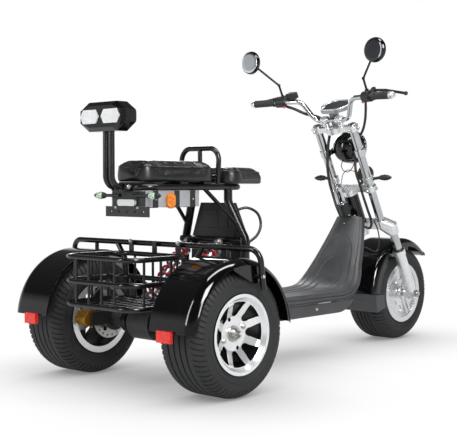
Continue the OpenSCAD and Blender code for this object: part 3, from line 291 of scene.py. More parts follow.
# Columns: outward, share of the thickness below the edge
lip = [(-5.0, 0.0), (-2.0, 0.02), (-0.4, 0.07), (0.4, 0.15), (0.8, 0.36), (-2.4, 0.39), (-2.4, 0.46),
       (1.0, 0.49), (1.2, 0.74), (-2.0, 0.77), (-2.0, 0.83), (0.6, 0.86), (0.4, 0.96), (-1.5, 1.0)]
board_rows, board_columns = 300, 141
verts = []
places = np.linspace(0, run[-1], board_rows)
for s in places:
    i = min(max(int(np.searchsorted(run, s)) - 1, 0), len(run) - 2)
    span = run[i + 1] - run[i]
    t = (s - run[i]) / span
    row = ((2 * t**3 - 3 * t**2 + 1) * shield[i] + (t**3 - 2 * t**2 + t) * span * slopes[i]
           + (3 * t**2 - 2 * t**3) * shield[i + 1] + (t**3 - t**2) * span * slopes[i + 1])
    speed = ((6 * t**2 - 6 * t) * (shield[i] - shield[i + 1]) / span + (3 * t**2 - 4 * t + 1) * slopes[i]
             + (3 * t**2 - 2 * t) * slopes[i + 1])
    ahead, up = speed[:2] / np.hypot(*speed[:2])
    x, z, half, fall, thick = row
    section = []
    for u in np.linspace(-1, 1, board_columns):
        y = u * (half - 5)
        sunk = 0.0
        for arch_x, share in arches:
            top = np.interp(arch_x, shield[:, 0], run)
            wide, below = share * half, top - s
            round_top = arch_rise * wide
            if below > 0:
                edge = wide
                if below < round_top:
                    edge *= math.sqrt(max(0.0, 1 - (1 - below / round_top)**2))
                sunk += arch_deep * smooth(0.0, arch_slope, edge - abs(y))
        sunk -= border_high * smooth(0.0, border_slope, abs(y) - border_share * half)
        sunk *= smooth(relief_from, relief_full, x)
        section.append((y, sunk + fall * abs(y / half)**fall_power))
    edge_fall = section[-1][1]
    right = [(half + out, edge_fall + share * (thick - 0.6)) for out, share in lip]
    under = [(v * (half - 4), thick + fall * abs(v)**fall_power) for v in (0.9, 0.6, 0.3, 0, -0.3, -0.6, -0.9)]
    section += right + under + [(-y, d) for y, d in reversed(right)]
    columns = len(section)
    verts += [at(x + up * d, y, z - ahead * d) for y, d in section]
piece("footboard_skin", verts, tube_faces(board_rows, columns), "chassis", deck_grey, "deck_plastic",
      ["footboard"], sharp=40)

# Controller and storage box: a black polypropylene housing between the uprights with bolted cover plates,
# and a light grey ABS box hung under the passenger's seat in three black straps.
moulded_black = surface("polypropylene_black_moulded", "#161718", "#1e1f20", (0.42, 0.58), 0.9, 0.05,
                        sockets={"IOR": 1.49})
dress(moulded_black, "key_lock", "controller_box", "rear_indicators", "tail_bracket")
moulded_grey = surface("abs_light_grey_moulded", "#a4a6a8", "#b4b6b8", (0.34, 0.46), 1.0, 0.03,
                       sockets={"IOR": 1.53})
dress(moulded_grey, "seat_box")


def joined(parts):
    verts, faces = [], []
    for more, loops in parts:
        faces += [tuple(k + len(verts) for k in loop) for loop in loops]
        verts += more
    return verts, faces


def turned(profile, foot, ahead, steps=40):
    """A lathe-turned form; the profile lists distance along the axis and radius in millimetres."""
    ahead = Vector(ahead).normalized()
    side = ahead.orthogonal().normalized()
    up = ahead.cross(side)
    verts = []
    for far, r in profile:
        for k in range(steps):
            a = 2 * math.pi * k / steps
            verts.append(foot + (ahead * far + (side * math.cos(a) + up * math.sin(a)) * r) / 1000)
    return verts, tube_faces(len(profile), steps)


def slab(corners, thick, ahead, chamfer=1.2):
    """A plate over corners given in order, with chamfered edges, standing out along a direction."""
    ahead = Vector(ahead).normalized()
    middle = sum((Vector(c) for c in corners), Vector()) / len(corners)
    verts = []
    for far, inset in ((0, 0), (thick - chamfer, 0), (thick, chamfer)):
        for c in corners:
            pull = (middle - Vector(c)).normalized() * inset * 1.4
            verts.append(Vector(c) + (ahead * far + pull) / 1000)
    return verts, tube_faces(3, len(corners))


back = (-1, 0, 0)
box_back = 363.8
# Columns: thickness, corners as places across and up
plates = [(2.5, ((-112, 470), (112, 470), (104, 560), (-104, 560))),
          (2.0, ((-70, 572), (-24, 572), (-20, 644), (-62, 644))),
          (2.0, ((-14, 572), (72, 572), (62, 644), (-10, 644))),
          (2.0, ((-118, 300), (118, 300), (114, 450), (-114, 450)))]
panel = [slab([at(box_back, y, z) for y, z in corners], thick, back) for thick, corners in plates]
piece("controller_cover", *joined(panel), "chassis", moulded_black, "dark_plastic", sharp=20)

end_x, end_top, end_thick = -100.3, 720, 1.6
ends = [slab([at(end_x, y, z) for y, z in ((a, low), (b, low), (b, end_top), (a, end_top))], end_thick, back)
        for a, b, low in ((-90, -53, 665), (53, 90, 665), (-52, 52, 710))]
piece("box_end_covers", *joined(ends), "chassis", moulded_black, "dark_plastic", sharp=20)

straps, strap_thick = [], 2.4
# Columns: along the box, up or across
strap_side = ((-13, 660), (13, 660), (13, 722), (-13, 722))
strap_under = ((-13, -105), (13, -105), (13, 105), (-13, 105))
for x in (-64, 45, 128):
    for side in (-1, 1):
        straps.append(slab([at(x + dx, side * 104.2, z) for dx, z in strap_side], strap_thick, (0, side, 0)))
    straps.append(slab([at(x + dx, y, 661.8) for dx, y in strap_under], strap_thick, (0, 0, -1)))
piece("box_straps", *joined(straps), "chassis", moulded_black, "dark_plastic", sharp=20)

# Lenses: clear polycarbonate over the lamps of the tail and the front,
# and ovals in the rear indicators coloured dark green with pale patches, which are a painted reflection.
# The amber and red reflectors have moulded prisms, and their small patches of light and dark are painted
# highlights and shade.
lens_clear = surface("polycarbonate_clear_lens", "#dfe3e5", "#eef0f1", (0.05, 0.1), 2.0, 0.05,
                     sockets={"IOR": 1.58, "Transmission Weight": 0.3})
dress(lens_clear, "tail_lens", "headlamp_lens")
# The green and pale patches of the indicator lenses are a painted reflection.
lens_painted_reflection = surface("polycarbonate_painted_green_reflection", "#3f7a5c", "#cfe6d2", (0.06, 0.12), 2.0, 0.3, 9,
                     sockets={"IOR": 1.58})
# Painted highlights and shade: lighter and darker patches of the colour, a few millimetres across, stand for
# the prisms' glints.
lens_amber_glints_painted = surface("polycarbonate_amber_painted_glints", "#e06a04", "#f79a1c", (0.1, 0.16), 3.0, 0.5, 8,
                     sockets={"IOR": 1.58})
dress(lens_amber_glints_painted, "side_reflectors")
lens_red_glints_painted = surface("polycarbonate_red_painted_glints", "#c2160c", "#e8281a", (0.1, 0.16), 3.0, 0.5, 8,
                   sockets={"IOR": 1.58})
dress(lens_red_glints_painted, "rear_reflectors")


def oval_lens(middle, axis, out, length, radius, swell):
    """The window of a pointed oval lamp, a skin over part of its girth."""
    axis, out = Vector(axis).normalized(), Vector(out).normalized()
    up = axis.cross(out)
    verts, rows, columns = [], 25, 15
    for i in range(rows):
        t = -1 + 2 * i / (rows - 1)
        r = radius * (1 - 0.72 * abs(t)**1.7) + swell
        for j in range(columns):
            a = math.radians(-62 + 124 * j / (columns - 1)) * math.sqrt(max(0.0, 1 - t * t))
            verts.append(middle + (axis * t * length + (out * math.cos(a) + up * math.sin(a)) * r) / 1000)
    return verts, grid_faces(rows, columns)


lamps = [oval_lens(at(-111.3, side * 144, 704), (0, 1, 0), back, 29, 14, 1.4) for side in (-1, 1)]
piece("rear_indicator_lenses", *joined(lamps), "chassis", lens_painted_reflection, "clear_lens")

# Seats: two plywood pans with foam, sewn into black leatherette that the foam pulls tight.
# Sewn channels run across the top, a corded welt runs round the top edge,
# and the underside lies on the rails.
leatherette = surface("pvc_leatherette_black_embossed", "#141415", "#1b1b1c", (0.3, 0.42), 1.4, 0.1,
                      sockets={"IOR": 1.5})


def spaced(raw, count):
    """Evenly spaced points along a closed line."""
    run = np.concatenate([[0], np.cumsum(np.hypot(*np.diff(raw, axis=0).T))])
    marks = np.linspace(0, run[-1], count, endpoint=False)
    return np.stack([np.interp(marks, run, raw[:, k]) for k in (0, 1)], axis=1)


def outline(circles, inset, count):
    """Plan of a band pulled round circles, as evenly spaced points."""
    raw = []
    for i in range(1440):
        n = np.array([math.cos(math.radians(i / 4)), math.sin(math.radians(i / 4))])
        x, y, r = max(circles, key=lambda c: c[0] * n[0] + c[1] * n[1] + c[2])
        raw.append(np.array([x, y]) + n * (r - inset))
    return spaced(np.array(raw + raw[:1]), count)


def upholstered(name, verts, faces, resting, cap_mm, replaces):
    """Foam swells the cover from a slightly smaller form; the side that rests on something stays flat."""
    made = piece(name, verts, faces, "chassis", leatherette, "seat_leather", replaces)
    scene, settle_steps, foam_pressure = bpy.context.scene, 20, 4

    def applied():
        deps = bpy.context.evaluated_depsgraph_get()
        mesh = bpy.data.meshes.new_from_object(made.evaluated_get(deps))
        made.modifiers.clear()
        made.data = mesh

    remesh = made.modifiers.new("even_cover", "REMESH")
    remesh.mode, remesh.voxel_size = "VOXEL", 0.005
    applied()
    before = np.array([v.co[:] for v in made.data.vertices])
    pinned = made.vertex_groups.new(name="resting")
    pinned.add([v.index for v in made.data.vertices if resting(v.co)], 1.0, "REPLACE")
    cloth = made.modifiers.new("cover", "CLOTH")
    cloth.settings.use_pressure = True
    cloth.settings.uniform_pressure_force = foam_pressure
    cloth.settings.vertex_group_mass = "resting"
    cloth.settings.effector_weights.gravity = 0
    cloth.point_cache.frame_start, cloth.point_cache.frame_end = 1, settle_steps
    for step in range(1, settle_steps + 1):
        scene.frame_set(step)
    applied()
    scene.frame_set(1)
    after = np.array([v.co[:] for v in made.data.vertices])
    shift = after - before
    far = np.linalg.norm(shift, axis=1, keepdims=True)
    shift *= np.minimum(1.0, cap_mm / 1000 / np.maximum(far, 1e-9))
    for v, co in zip(made.data.vertices, before + shift):
        v.co = co
    made.vertex_groups.clear()
    eased = made.modifiers.new("eased_foam", "SMOOTH")
    eased.factor, eased.iterations = 0.5, 10
    subdivide = made.modifiers.new("finer", "SUBSURF")
    subdivide.levels = subdivide.render_levels = 1
    applied()
    made.data.shade_smooth()
    made.data.materials.clear()
    made.data.materials.append(leatherette)
    return made


def cord_ring(name, points, radius_mm, body, material, slot, sides=10):
    """A round cord laid along a closed line."""
    pts = [Vector(p) for p in points]
    verts = []
    for i, p in enumerate(pts):
        ahead = (pts[(i + 1) % len(pts)] - pts[i - 1]).normalized()
        out = ahead.cross(Vector((0, 0, 1))).normalized()
        up = out.cross(ahead)
        for k in range(sides):
            a = 2 * math.pi * k / sides
            verts.append(p + (out * math.cos(a) + up * math.sin(a)) * radius_mm / 1000)
    return piece(name, verts, grid_faces(len(pts), sides, True, True), body, material, slot)


# Columns: node, circles of the plan, underside, thickness, places of the channels, height of the welt
seat_plans = [
    ("seat_front", [(346, 94, 52), (346, -94, 52), (527, 24, 62), (527, -24, 62)],
     747.3, 60, range(352, 570, 45), 0.88),
    ("seat_rear", [(200, 67, 55), (200, -67, 55), (-60, 48, 45), (-60, -48, 45)],
     755.0, 74, range(-70, 230, 45), 0.78)]
# Columns: inset from the plan, height as a share of the thickness
seat_rings = [(10, 0.0), (6, 0.03), (4.5, 0.12), (4.0, 0.45), (5.5, 0.72), (8, 0.84), (13, 0.9), (24, 0.93),
              (40, 0.95)]
count = 240
channel_deep_m, channel_half_mm = 0.0026, 4.0
seam_deep_m, seam_in_mm, seam_half_mm = 0.0016, 15, 3.5
for node, circles, low, thick, channels, welt_share in seat_plans:
    verts = []
    for inset, share in seat_rings:
        verts += [at(x, y, low + share * thick) for x, y in outline(circles, inset, count)]
    cover = upholstered(node + "_cover", verts, tube_faces(len(seat_rings), count),
                        lambda co: co.z < at(0, 0, low + 2.5).z, 9, [node])
    rim = outline(circles, 7, 600)
    lines = [at(x, 0, 0).x for x in channels]
    for v in cover.data.vertices:
        height = v.co.z * 1000 - low
        if height > 0.6 * thick:
            edge = float(np.min(np.hypot(rim[:, 0] - (v.co.x - rear_axle.x) * 1000,
                                         rim[:, 1] - v.co.y * 1000)))
            near = min(abs(v.co.x - x) for x in lines) * 1000
            v.co.z -= channel_deep_m * math.exp(-(near / channel_half_mm)**2) * smooth(14, 26, edge)
            v.co.z -= (seam_deep_m * math.exp(-((edge - seam_in_mm) / seam_half_mm)**2)
                       * smooth(0.7, 0.8, height / thick))
    cover.data.update()
    hull_tree = BVHTree.FromObject(cover, bpy.context.evaluated_depsgraph_get())
    welt = []
    for x, y in outline(circles, 5, 300):
        spot, normal, _, _ = hull_tree.find_nearest(at(x, y, low + welt_share * thick))
        welt.append(spot + normal * 0.0006)
    cord_ring(node + "_welt", welt, 2.2, "chassis", leatherette, "seat_leather")

# Backrest: an eight-sided gloss black ABS shell on two bent posts, with two bright plates on its back.
# Its front carries a foam pad in the same leatherette as the seats.
steel_plate = surface("steel_plate_white_lacquer", "#d9dbdc", "#e6e7e8", (0.16, 0.26), 0.8, 0.01,
                      sockets={"IOR": 1.5, "Metallic": 0.25})
dress(steel_plate, "backrest_plates")


def eight_sided(inset, count):
    """Outline of the backrest seen from behind, inset by a distance, as evenly spaced points."""
    w, h, flat, cut = 124 - inset, 53 - inset, 22, 47
    raw = [(w, -flat), (w, flat), (w - cut, h), (cut - w, h), (-w, flat), (-w, -flat), (cut - w, -h),
           (w - cut, -h), (w, -flat)]
    return spaced(np.array(raw, float), count)


# Columns: ahead of the pad's back, inset from the shell's outline
pad_rings = [(0.3, 12), (2.0, 9.0), (10, 8.5), (15, 11), (18, 17), (19.5, 28)]
pad_x, pad_z, count = -176, 988, 160
verts = []
for ahead, inset in pad_rings:
    verts += [at(pad_x + ahead, y, pad_z + z) for y, z in eight_sided(inset, count)]
pad_back = at(pad_x, 0, 0).x
upholstered("backrest_cushion", verts, tube_faces(len(pad_rings), count),
            lambda co: co.x < pad_back + 0.0025, 8, ["backrest_pad"])

# Fenders: vacuum-formed ABS sheet with a gloss black lacquer, and a rubber flap behind the front wheel.
# The lacquer is glassy, so the soft boxes show on it as hard-edged white bands.
abs_lacquer = surface("abs_gloss_black_lacquer", "#060607", "#08080a", (0.05, 0.09), 6.0, 0.008,
                      sockets={"IOR": 1.5})
dress(abs_lacquer, "rear_fender_left", "rear_fender_right", "front_fender", "backrest_shell", "mirrors",
      "headlamp")
flap_rubber = surface("rubber_sheet_grey_moulded", "#434446", "#4d4e50", (0.6, 0.75), 1.5, 0.08,
                      sockets={"IOR": 1.52})
dress(flap_rubber, "mud_flap")

# Rear axle: zinc-plated hubs and drilled discs, gold-anodised calipers and satin dampers.
# Each caliper is a cast bridge with two jaws, two piston caps and two hex-headed pins.
zinc_steel = surface("steel_bright_zinc", "#a2a4a6", "#b9b7b0", (0.28, 0.42), 0.8, 0.02, 30,
                     sockets={"Metallic": 1.0})
dress(zinc_steel, "front_axle", "rear_hub_left", "rear_hub_right")
satin_aluminium = surface("aluminium_satin_turned", "#9a9c9f", "#aeb0b2", (0.3, 0.4), 0.6, 0.02,
                          sockets={"Metallic": 1.0})
dress(satin_aluminium, "shock_absorbers")
gold_anodised = surface("cast_aluminium_gold_anodised", "#b07f2c", "#c2933c", (0.32, 0.44), 0.9, 0.05,
                        sockets={"Metallic": 0.9})
jaw = [(-100, 210), (-72, 210), (-63, 222), (-63, 244), (-74, 258), (-100, 258)]
bridge = [(-147, 218), (-132, 204), (-92, 204), (-88, 208), (-88, 258), (-96, 264), (-126, 264),
          (-147, 240)]
# Columns: plan as places along and up, inner face, thickness, chamfer
castings = ((bridge, 200.6, 55, 6), (jaw, 200.6, 18, 2), (jaw, 237.2, 18.5, 5))
# Columns: distance along the axis, radius
piston_cap = [(0, 17), (1.6, 17), (2.4, 15.5), (2.4, 9), (1.0, 8), (1.0, 0.1)]
pin_head = [(0, 5.5), (4, 5.5), (5, 4.5), (5, 0.1)]
calipers = []
for side in (-1, 1):
    out = (0, side, 0)
    calipers += [slab([at(x, side * y, z) for x, z in plan], thick, out, chamfer)
                 for plan, y, thick, chamfer in castings]
    calipers += [turned(piston_cap, at(-118, side * 255.6, z), out, 32) for z in (220, 247)]
    calipers += [turned(pin_head, at(-146.5, side * y, 229), back, 6) for y in (211, 246)]
piece("caliper_bodies", *joined(calipers), "chassis", gold_anodised, "gold", ["rear_calipers"], sharp=20)

# Springs: two coils of red powder-coated spring steel over the satin dampers.
# They lean forward as they rise, with half a flat turn at each end.
spring_red = surface("spring_steel_red_powder", "#b01626", "#c41f30", (0.22, 0.34), 2.0, 0.02,
                     sockets={"IOR": 1.48})
coil_foot, coil_top = np.array((52.0, 276.0)), np.array((292.0, 520.0))
coil_length = float(np.hypot(*(coil_top - coil_foot)))
lean_x, lean_z = (coil_top - coil_foot) / coil_length
turns, coil_parts, coil_sides, coil_radius, wire = 8, 44, 12, 22.0, 5.0
seat_low, seat_high, coil_y = 49.3, 51.3, 84
for name, side in (("left_spring_coil", 1), ("right_spring_coil", -1)):
    verts = []
    for i in range(turns * coil_parts + 1):
        t = i / coil_parts
        rise = seat_low + (coil_length - seat_high - seat_low) * min(max((t - 0.5) / (turns - 1), 0), 1)
        for k in range(coil_sides):
            g = 2 * math.pi * k / coil_sides
            q = coil_radius + wire * math.cos(g)
            x, y = q * math.cos(2 * math.pi * t), q * math.sin(2 * math.pi * t)
            z = rise + wire * math.sin(g)
            verts.append(at(coil_foot[0] + x * lean_z + z * lean_x, side * (coil_y + y),
                            coil_foot[1] - x * lean_x + z * lean_z))
    piece(name, verts, tube_faces(turns * coil_parts + 1, coil_sides), "chassis", spring_red, "red_spring",
          ["shock_springs"] if side > 0 else [])

# Fork: chrome tubes clamped in cast yokes with a silver lacquer, over cast lower legs.
# A black plug in a bright ring closes each tube, and a black wiper sits on each lower leg.
chrome = surface("steel_chrome_plated", "#b2b5b8", "#bfc1c3", (0.05, 0.1), 40.0, 0.01,
                 sockets={"Metallic": 1.0})
dress(chrome, "fork_tubes", "handlebar")
silver_lacquer = surface("cast_aluminium_silver_lacquer", "#d6d8da", "#e2e4e5", (0.24, 0.34), 0.7, 0.02,
                         sockets={"Metallic": 0.75})
dress(silver_lacquer, "fork_bridge", "yokes", "fork_sliders")
rake, wheelbase, axle_height = math.radians(28), 1583, 225


def fork(x, y, w):
    """A place in the fork's frame: ahead of the axle line, to the left, and up along the fork."""
    return at(wheelbase + x * math.cos(rake) - w * math.sin(rake), y,
              axle_height + x * math.sin(rake) + w * math.cos(rake))


def fork_way(x, y, w):
    return fork(x, y, w) - fork(0, 0, 0)


up_fork = fork_way(0, 0, 1)
top_ring = [(0, 19.5), (4, 19.5), (5, 18.5), (5, 15.5), (3, 15.0)]
top_plug = [(0, 15), (3.2, 15), (4.4, 13), (4.8, 8), (4.8, 0.1)]
wiper = [(0, 19.2), (0, 26), (3, 26.4), (6, 24.5), (9, 20.6), (11, 19.2)]
rings, plugs = [], []
for side in (-1, 1):
    tube_top = fork(-12, side * 98, 899)
    rings.append(turned(top_ring, tube_top, up_fork))
    plugs.append(turned(top_plug, tube_top, up_fork))
    plugs.append(turned(wiper, fork(6, side * 135, 236.2), up_fork))
piece("fork_top_rings", *joined(rings), "steering", chrome, "chrome")
piece("fork_plugs_and_wipers", *joined(plugs), "steering", moulded_black, "dark_plastic")

# Handlebar: bent chrome tube with rubber grips, moulded switch pods, levers and mirrors.
# The grips are ribbed sleeves closed by bright turned end caps; each pod has a red button.
dress(moulded_black, "switch_pods", "brake_levers", "horn")
# Columns: node, material's name, its plastic, and in metres from the middle where the plastic ends
# and where the plating is full
clamped = [("headlamp", "abs_lacquer_on_plated_clamps", abs_lacquer, 0.0752, 0.0756),
           ("front_indicators", "polypropylene_on_plated_clamps", moulded_black, 0.1245, 0.1240)]
for node, name, plastic, plastic_end, plated in clamped:
    made = plastic.copy()
    made.name = name
    tree = made.node_tree
    place = add(tree, "SeparateXYZ", {}, {0: add(tree, "TexCoord").outputs["Object"]})
    across = add(tree, "Math", {"operation": "ABSOLUTE"}, {0: place.outputs["Y"]})
    clamp = add(tree, "MapRange", {"From Min": plastic_end, "From Max": plated}, {"Value": across.outputs[0]})
    mixed = add(tree, "MixRGB", {"Color2": linear("#c4c6c8")},
                {"Fac": clamp.outputs["Result"], "Color1": tree.nodes["tones"].outputs["Color"]})
    tree.links.new(mixed.outputs["Color"], tree.nodes["shader"].inputs["Base Color"])
    tree.links.new(clamp.outputs["Result"], tree.nodes["shader"].inputs["Metallic"])
    dress(made, node)
grip_rubber = surface("rubber_soft_black_moulded", "#1d1d1e", "#262627", (0.55, 0.7), 1.2, 0.06,
                      sockets={"IOR": 1.52})
# Columns: distance along the axis, past the sleeve's end for the cap, and radius
end_cap = [(-8, 11.2), (-8, 16.8), (-4, 17), (6, 14.5), (13, 11), (15, 8.5), (15.5, 0.1)]
button = [(0, 6), (4, 6), (6.5, 4.8), (7.6, 2.5), (8, 0.1)]
sleeves, caps, buttons = [], [], []
for side in (-1, 1):
    inner, outer = fork(-39, side * 271, 1042), fork(-60, side * 386, 1049)
    way = (outer - inner).normalized()
    start = inner + (outer - inner) * 0.06
    length = (outer - start).length * 1000
    profile = [(0, 11.2), (0, 18.5), (1, 19.2), (4, 19.2), (5, 18.0), (7, 16.4)]
    ribs = int((length - 26) / 4.5)
    for i in range(ribs):
        far = 9 + i * (length - 22) / ribs
        profile += [(far, 16.6), (far + 0.6, 15.9), (far + 1.4, 15.9), (far + 2.0, 16.6)]
    profile += [(length - 9, 16.6), (length - 8, 15.5), (length - 8, 11.2)]
    sleeves.append(turned(profile, start, way, 48))
    caps.append(turned([(length + far, r) for far, r in end_cap], start, way, 48))
    pod = fork(-26, side * 222, 1036) + fork_way(-20, 0, -14)
    buttons.append(turned(button, pod, fork_way(-0.8, 0, -0.55), 24))
piece("grip_sleeves", *joined(sleeves), "steering", grip_rubber, "soft_rubber", ["grips"], sharp=50)
piece("grip_end_caps", *joined(caps), "steering", silver_lacquer, "cast_silver")
button_red = surface("abs_red_moulded", "#c81f18", "#dd2f25", (0.25, 0.35), 1.0, 0.01,
                     sockets={"IOR": 1.53})
piece("pod_buttons", *joined(buttons), "steering", button_red, "red_reflector")
tank = slab([fork(x, y, 1046) for x, y in ((-28, 160), (0, 160), (0, 208), (-28, 208))], 28, up_fork, 3)
piece("brake_fluid_tank", *tank, "steering", moulded_black, "dark_plastic", sharp=20)
ring = turned([(0.1, 19), (1.4, 19), (2.0, 18), (2.0, 12), (0.4, 11.4)], fork(-120, 0, 554), up_fork, 48)
piece("key_lock_ring", *ring, "chassis", chrome, "chrome")

# Mirror glass: a flat disc in the rear face of each black head.
# The left one is silvered; the right one has a painted dark reflection as its colour, because it looks dark in
# the photograph.
mirror_glass = surface("glass_silvered", "#c9cdd1", "#d3d7da", (0.015, 0.03), 60.0, 0.005,
                       sockets={"Metallic": 1.0})
mirror_painted_dark = surface("glass_painted_dark_reflection", "#1b1c20", "#24252b", (0.03, 0.06), 60.0, 0.005,
                     sockets={"IOR": 1.52})
for name, side, glass in (("left_mirror_glass", 1, mirror_glass), ("right_mirror_glass", -1, mirror_painted_dark)):
    disc = turned([(0, 46.6), (0.8, 46.6), (1.2, 45.6), (1.3, 30), (1.3, 0.1)],
                  fork(-31, side * 347, 1245) + Vector((-0.012, 0, 0)), back, 64)
    piece(name, *disc, "steering", glass, "chrome")

# Dashboard and headlamp: a silver-grey ABS clock housing with a dark glass in a silver bezel,
# and a lamp with a chromed rim.
dash_silver = surface("abs_silver_grey_moulded", "#8c8f92", "#a2a5a8", (0.2, 0.3), 1.0, 0.02,
                      sockets={"IOR": 1.53, "Metallic": 0.3})
dress(dash_silver, "dashboard")
dark_glass = surface("glass_smoked", "#2b2d2f", "#343638", (0.04, 0.07), 50.0, 0.005, sockets={"IOR": 1.52})
dial_count, dial_x, dial_w, dial_radius, glass_radius, dial_stretch = 72, 42, 960, 58, 49.5, 20


def dial_ring(radius, stretch, lift):
    """A ring of the dial, which is a circle parted in the middle and drawn out to both sides."""
    ring = []
    for i in range(dial_count):
        a = 2 * math.pi * i / dial_count
        parted = stretch * math.copysign(1, math.sin(a)) * min(1, abs(math.sin(a)) * 6)
        ring.append(fork(dial_x + radius * math.cos(a), radius * math.sin(a) + parted, dial_w + lift))
    return ring


rim, glass = [], []
for lift, inset in ((16.0, 1.0), (19.0, 1.6), (20.5, 4.0), (20.0, 8.0), (17.0, 9.5)):
    rim += dial_ring(dial_radius - inset, dial_stretch, lift)
piece("dash_bezel", rim, grid_faces(5, dial_count, False, True), "steering", silver_lacquer, "cast_silver")
for lift, share in ((17.2, 1.0), (18.4, 0.97), (19.2, 0.7), (19.5, 0.35), (19.6, 0.02)):
    glass += dial_ring(glass_radius * share, dial_stretch * share, lift)
piece("dash_glass", glass, grid_faces(5, dial_count, False, True), "steering", dark_glass, "dash_plastic")
lamp_rim = [(26, 75), (28, 76), (36, 76), (39, 74.5), (40, 71.5), (38, 69.2), (34, 69)]
piece("headlamp_rim", *turned(lamp_rim, fork(46, 0, 761), Vector((1, 0, 0)), 72), "steering", chrome, "chrome")

# Wheels: three fat tyres of carbon-black rubber, moulded with straight grooves round the crown
# and slanted sipes over the shoulders; the rear rims are machined alloy, dark and less metallic on the faces
# that don't look along the axle.
tyre_rubber = surface("rubber_carbon_black_moulded", "#17181a", "#232426", (0.62, 0.8), 1.1, 0.1, 60,
                      sockets={"IOR": 1.52})


def tyre(name, node, body, axle, middle_mm, width_mm, corner_mm, grooves_mm):
    """Rows of points across the tyre, repeated round it; every sipe is one notch of the ring."""
    crown, half, pitches, sipe_mm, groove_mm = 225.0, width_mm / 2, 66, 4.0, 5.0
    side = [(143.2, 9.0), (146, 6.2), (150, 4.6), (151, 5.8), (157, 3.6), (163, 2.0), (163.8, 0.5),
            (168, 0.4), (169, 1.6), (174, 0.9)]
    rows = [(r, half - inset, 0.0, 0.0) for r, inset in side if r < crown - corner_mm]
    for i in range(13):
        a = math.radians(7.5 * i)
        rows.append((crown - corner_mm + corner_mm * math.sin(a),
                     half - corner_mm + corner_mm * math.cos(a), sipe_mm if 3 <= i <= 10 else 0.0, a))
    for g in sorted(grooves_mm, reverse=True):
        for across, deep in ((g + 3.4, 0), (g + 2.4, groove_mm), (g - 2.4, groove_mm), (g - 3.4, 0)):
            rows.append((crown - deep, across, 0.0, math.pi / 2))
    rows = rows + [(r, -y, d, a) for r, y, d, a in reversed(rows)]
    notches = [(0.0, 0), (0.36, 0), (0.72, 0), (0.77, 1), (0.95, 1)]
    verts = []
    for r, y, depth, a in rows:
        slant = 0.9 * max(0.0, abs(y) - (half - corner_mm)) / corner_mm
        for i in range(pitches):
            for share, cut in notches:
                turn = 2 * math.pi * (i + share + slant) / pitches
                radius = r - cut * depth * math.sin(a)
                across = y - math.copysign(cut * depth * math.cos(a), y)
                verts.append((axle.x + radius * math.cos(turn) / 1000, (middle_mm + across) / 1000,
                              axle.z + radius * math.sin(turn) / 1000))
    faces = grid_faces(len(rows), pitches * len(notches), True, True)
    return piece(name, verts, faces, body, tyre_rubber, "tyre", [node], sharp=28)


tyre("front_tyre_tread", "front_tyre", "front_wheel", front_axle, 0, 192, 52, (30, 10))
tyre("rear_left_tyre_tread", "rear_tyre_left", "rear_left_wheel", rear_axle, 375, 205, 44, (42, 14))
tyre("rear_right_tyre_tread", "rear_tyre_right", "rear_right_wheel", rear_axle, -375, 205, 44, (42, 14))

alloy_machined = surface("aluminium_alloy_machined", "#dfe1e2", "#e9eaeb", (0.16, 0.26), 0.5, 0.01,
                         sockets={"Metallic": 1.0})
tree = alloy_machined.node_tree
# Faces that don't look along the axle, such as the window walls and the barrel, are made dark and less
# metallic.
facing = add(tree, "SeparateXYZ", {}, {0: add(tree, "TexCoord").outputs["Normal"]})
turned_face = add(tree, "Math", {"operation": "ABSOLUTE"}, {0: facing.outputs["Y"]})
facing_axle = add(tree, "MapRange", {"From Min": 0.35, "From Max": 0.6}, {"Value": turned_face.outputs[0]})
dark_off_axle = add(tree, "MixRGB", {"Color1": linear("#1a1b1c")},
              {"Fac": facing_axle.outputs["Result"], "Color2": tree.nodes["tones"].outputs["Color"]})
tree.links.new(dark_off_axle.outputs["Color"], tree.nodes["shader"].inputs["Base Color"])
metal = add(tree, "Math", {"operation": "MULTIPLY", 1: 0.6}, {0: facing_axle.outputs["Result"]})
tree.links.new(metal.outputs[0], tree.nodes["shader"].inputs["Metallic"])
dress(alloy_machined, "rear_rim_left", "rear_rim_right")
alloy_cast = surface("aluminium_alloy_cast_bright", "#c9cbcd", "#d8d9db", (0.24, 0.36), 0.8, 0.02,
                     sockets={"Metallic": 0.85})
dress(alloy_cast, "front_rim")

# Cables: looms in woven black sleeves from the switch pods to the frame, sheathed cables and brake hoses.
# The looms leave the pods, follow the fork and go into the leg shield and the down tube,
# with slack for steering.
woven_sleeve = surface("polyester_sleeve_black_braided", "#151516", "#222223", (0.5, 0.65), 1.5, 0.1,
                       sockets={"IOR": 1.5})
cable_sheath = surface("pvc_sheath_black_extruded", "#141415", "#1c1c1d", (0.35, 0.45), 2.0, 0.02,
                       sockets={"IOR": 1.52})


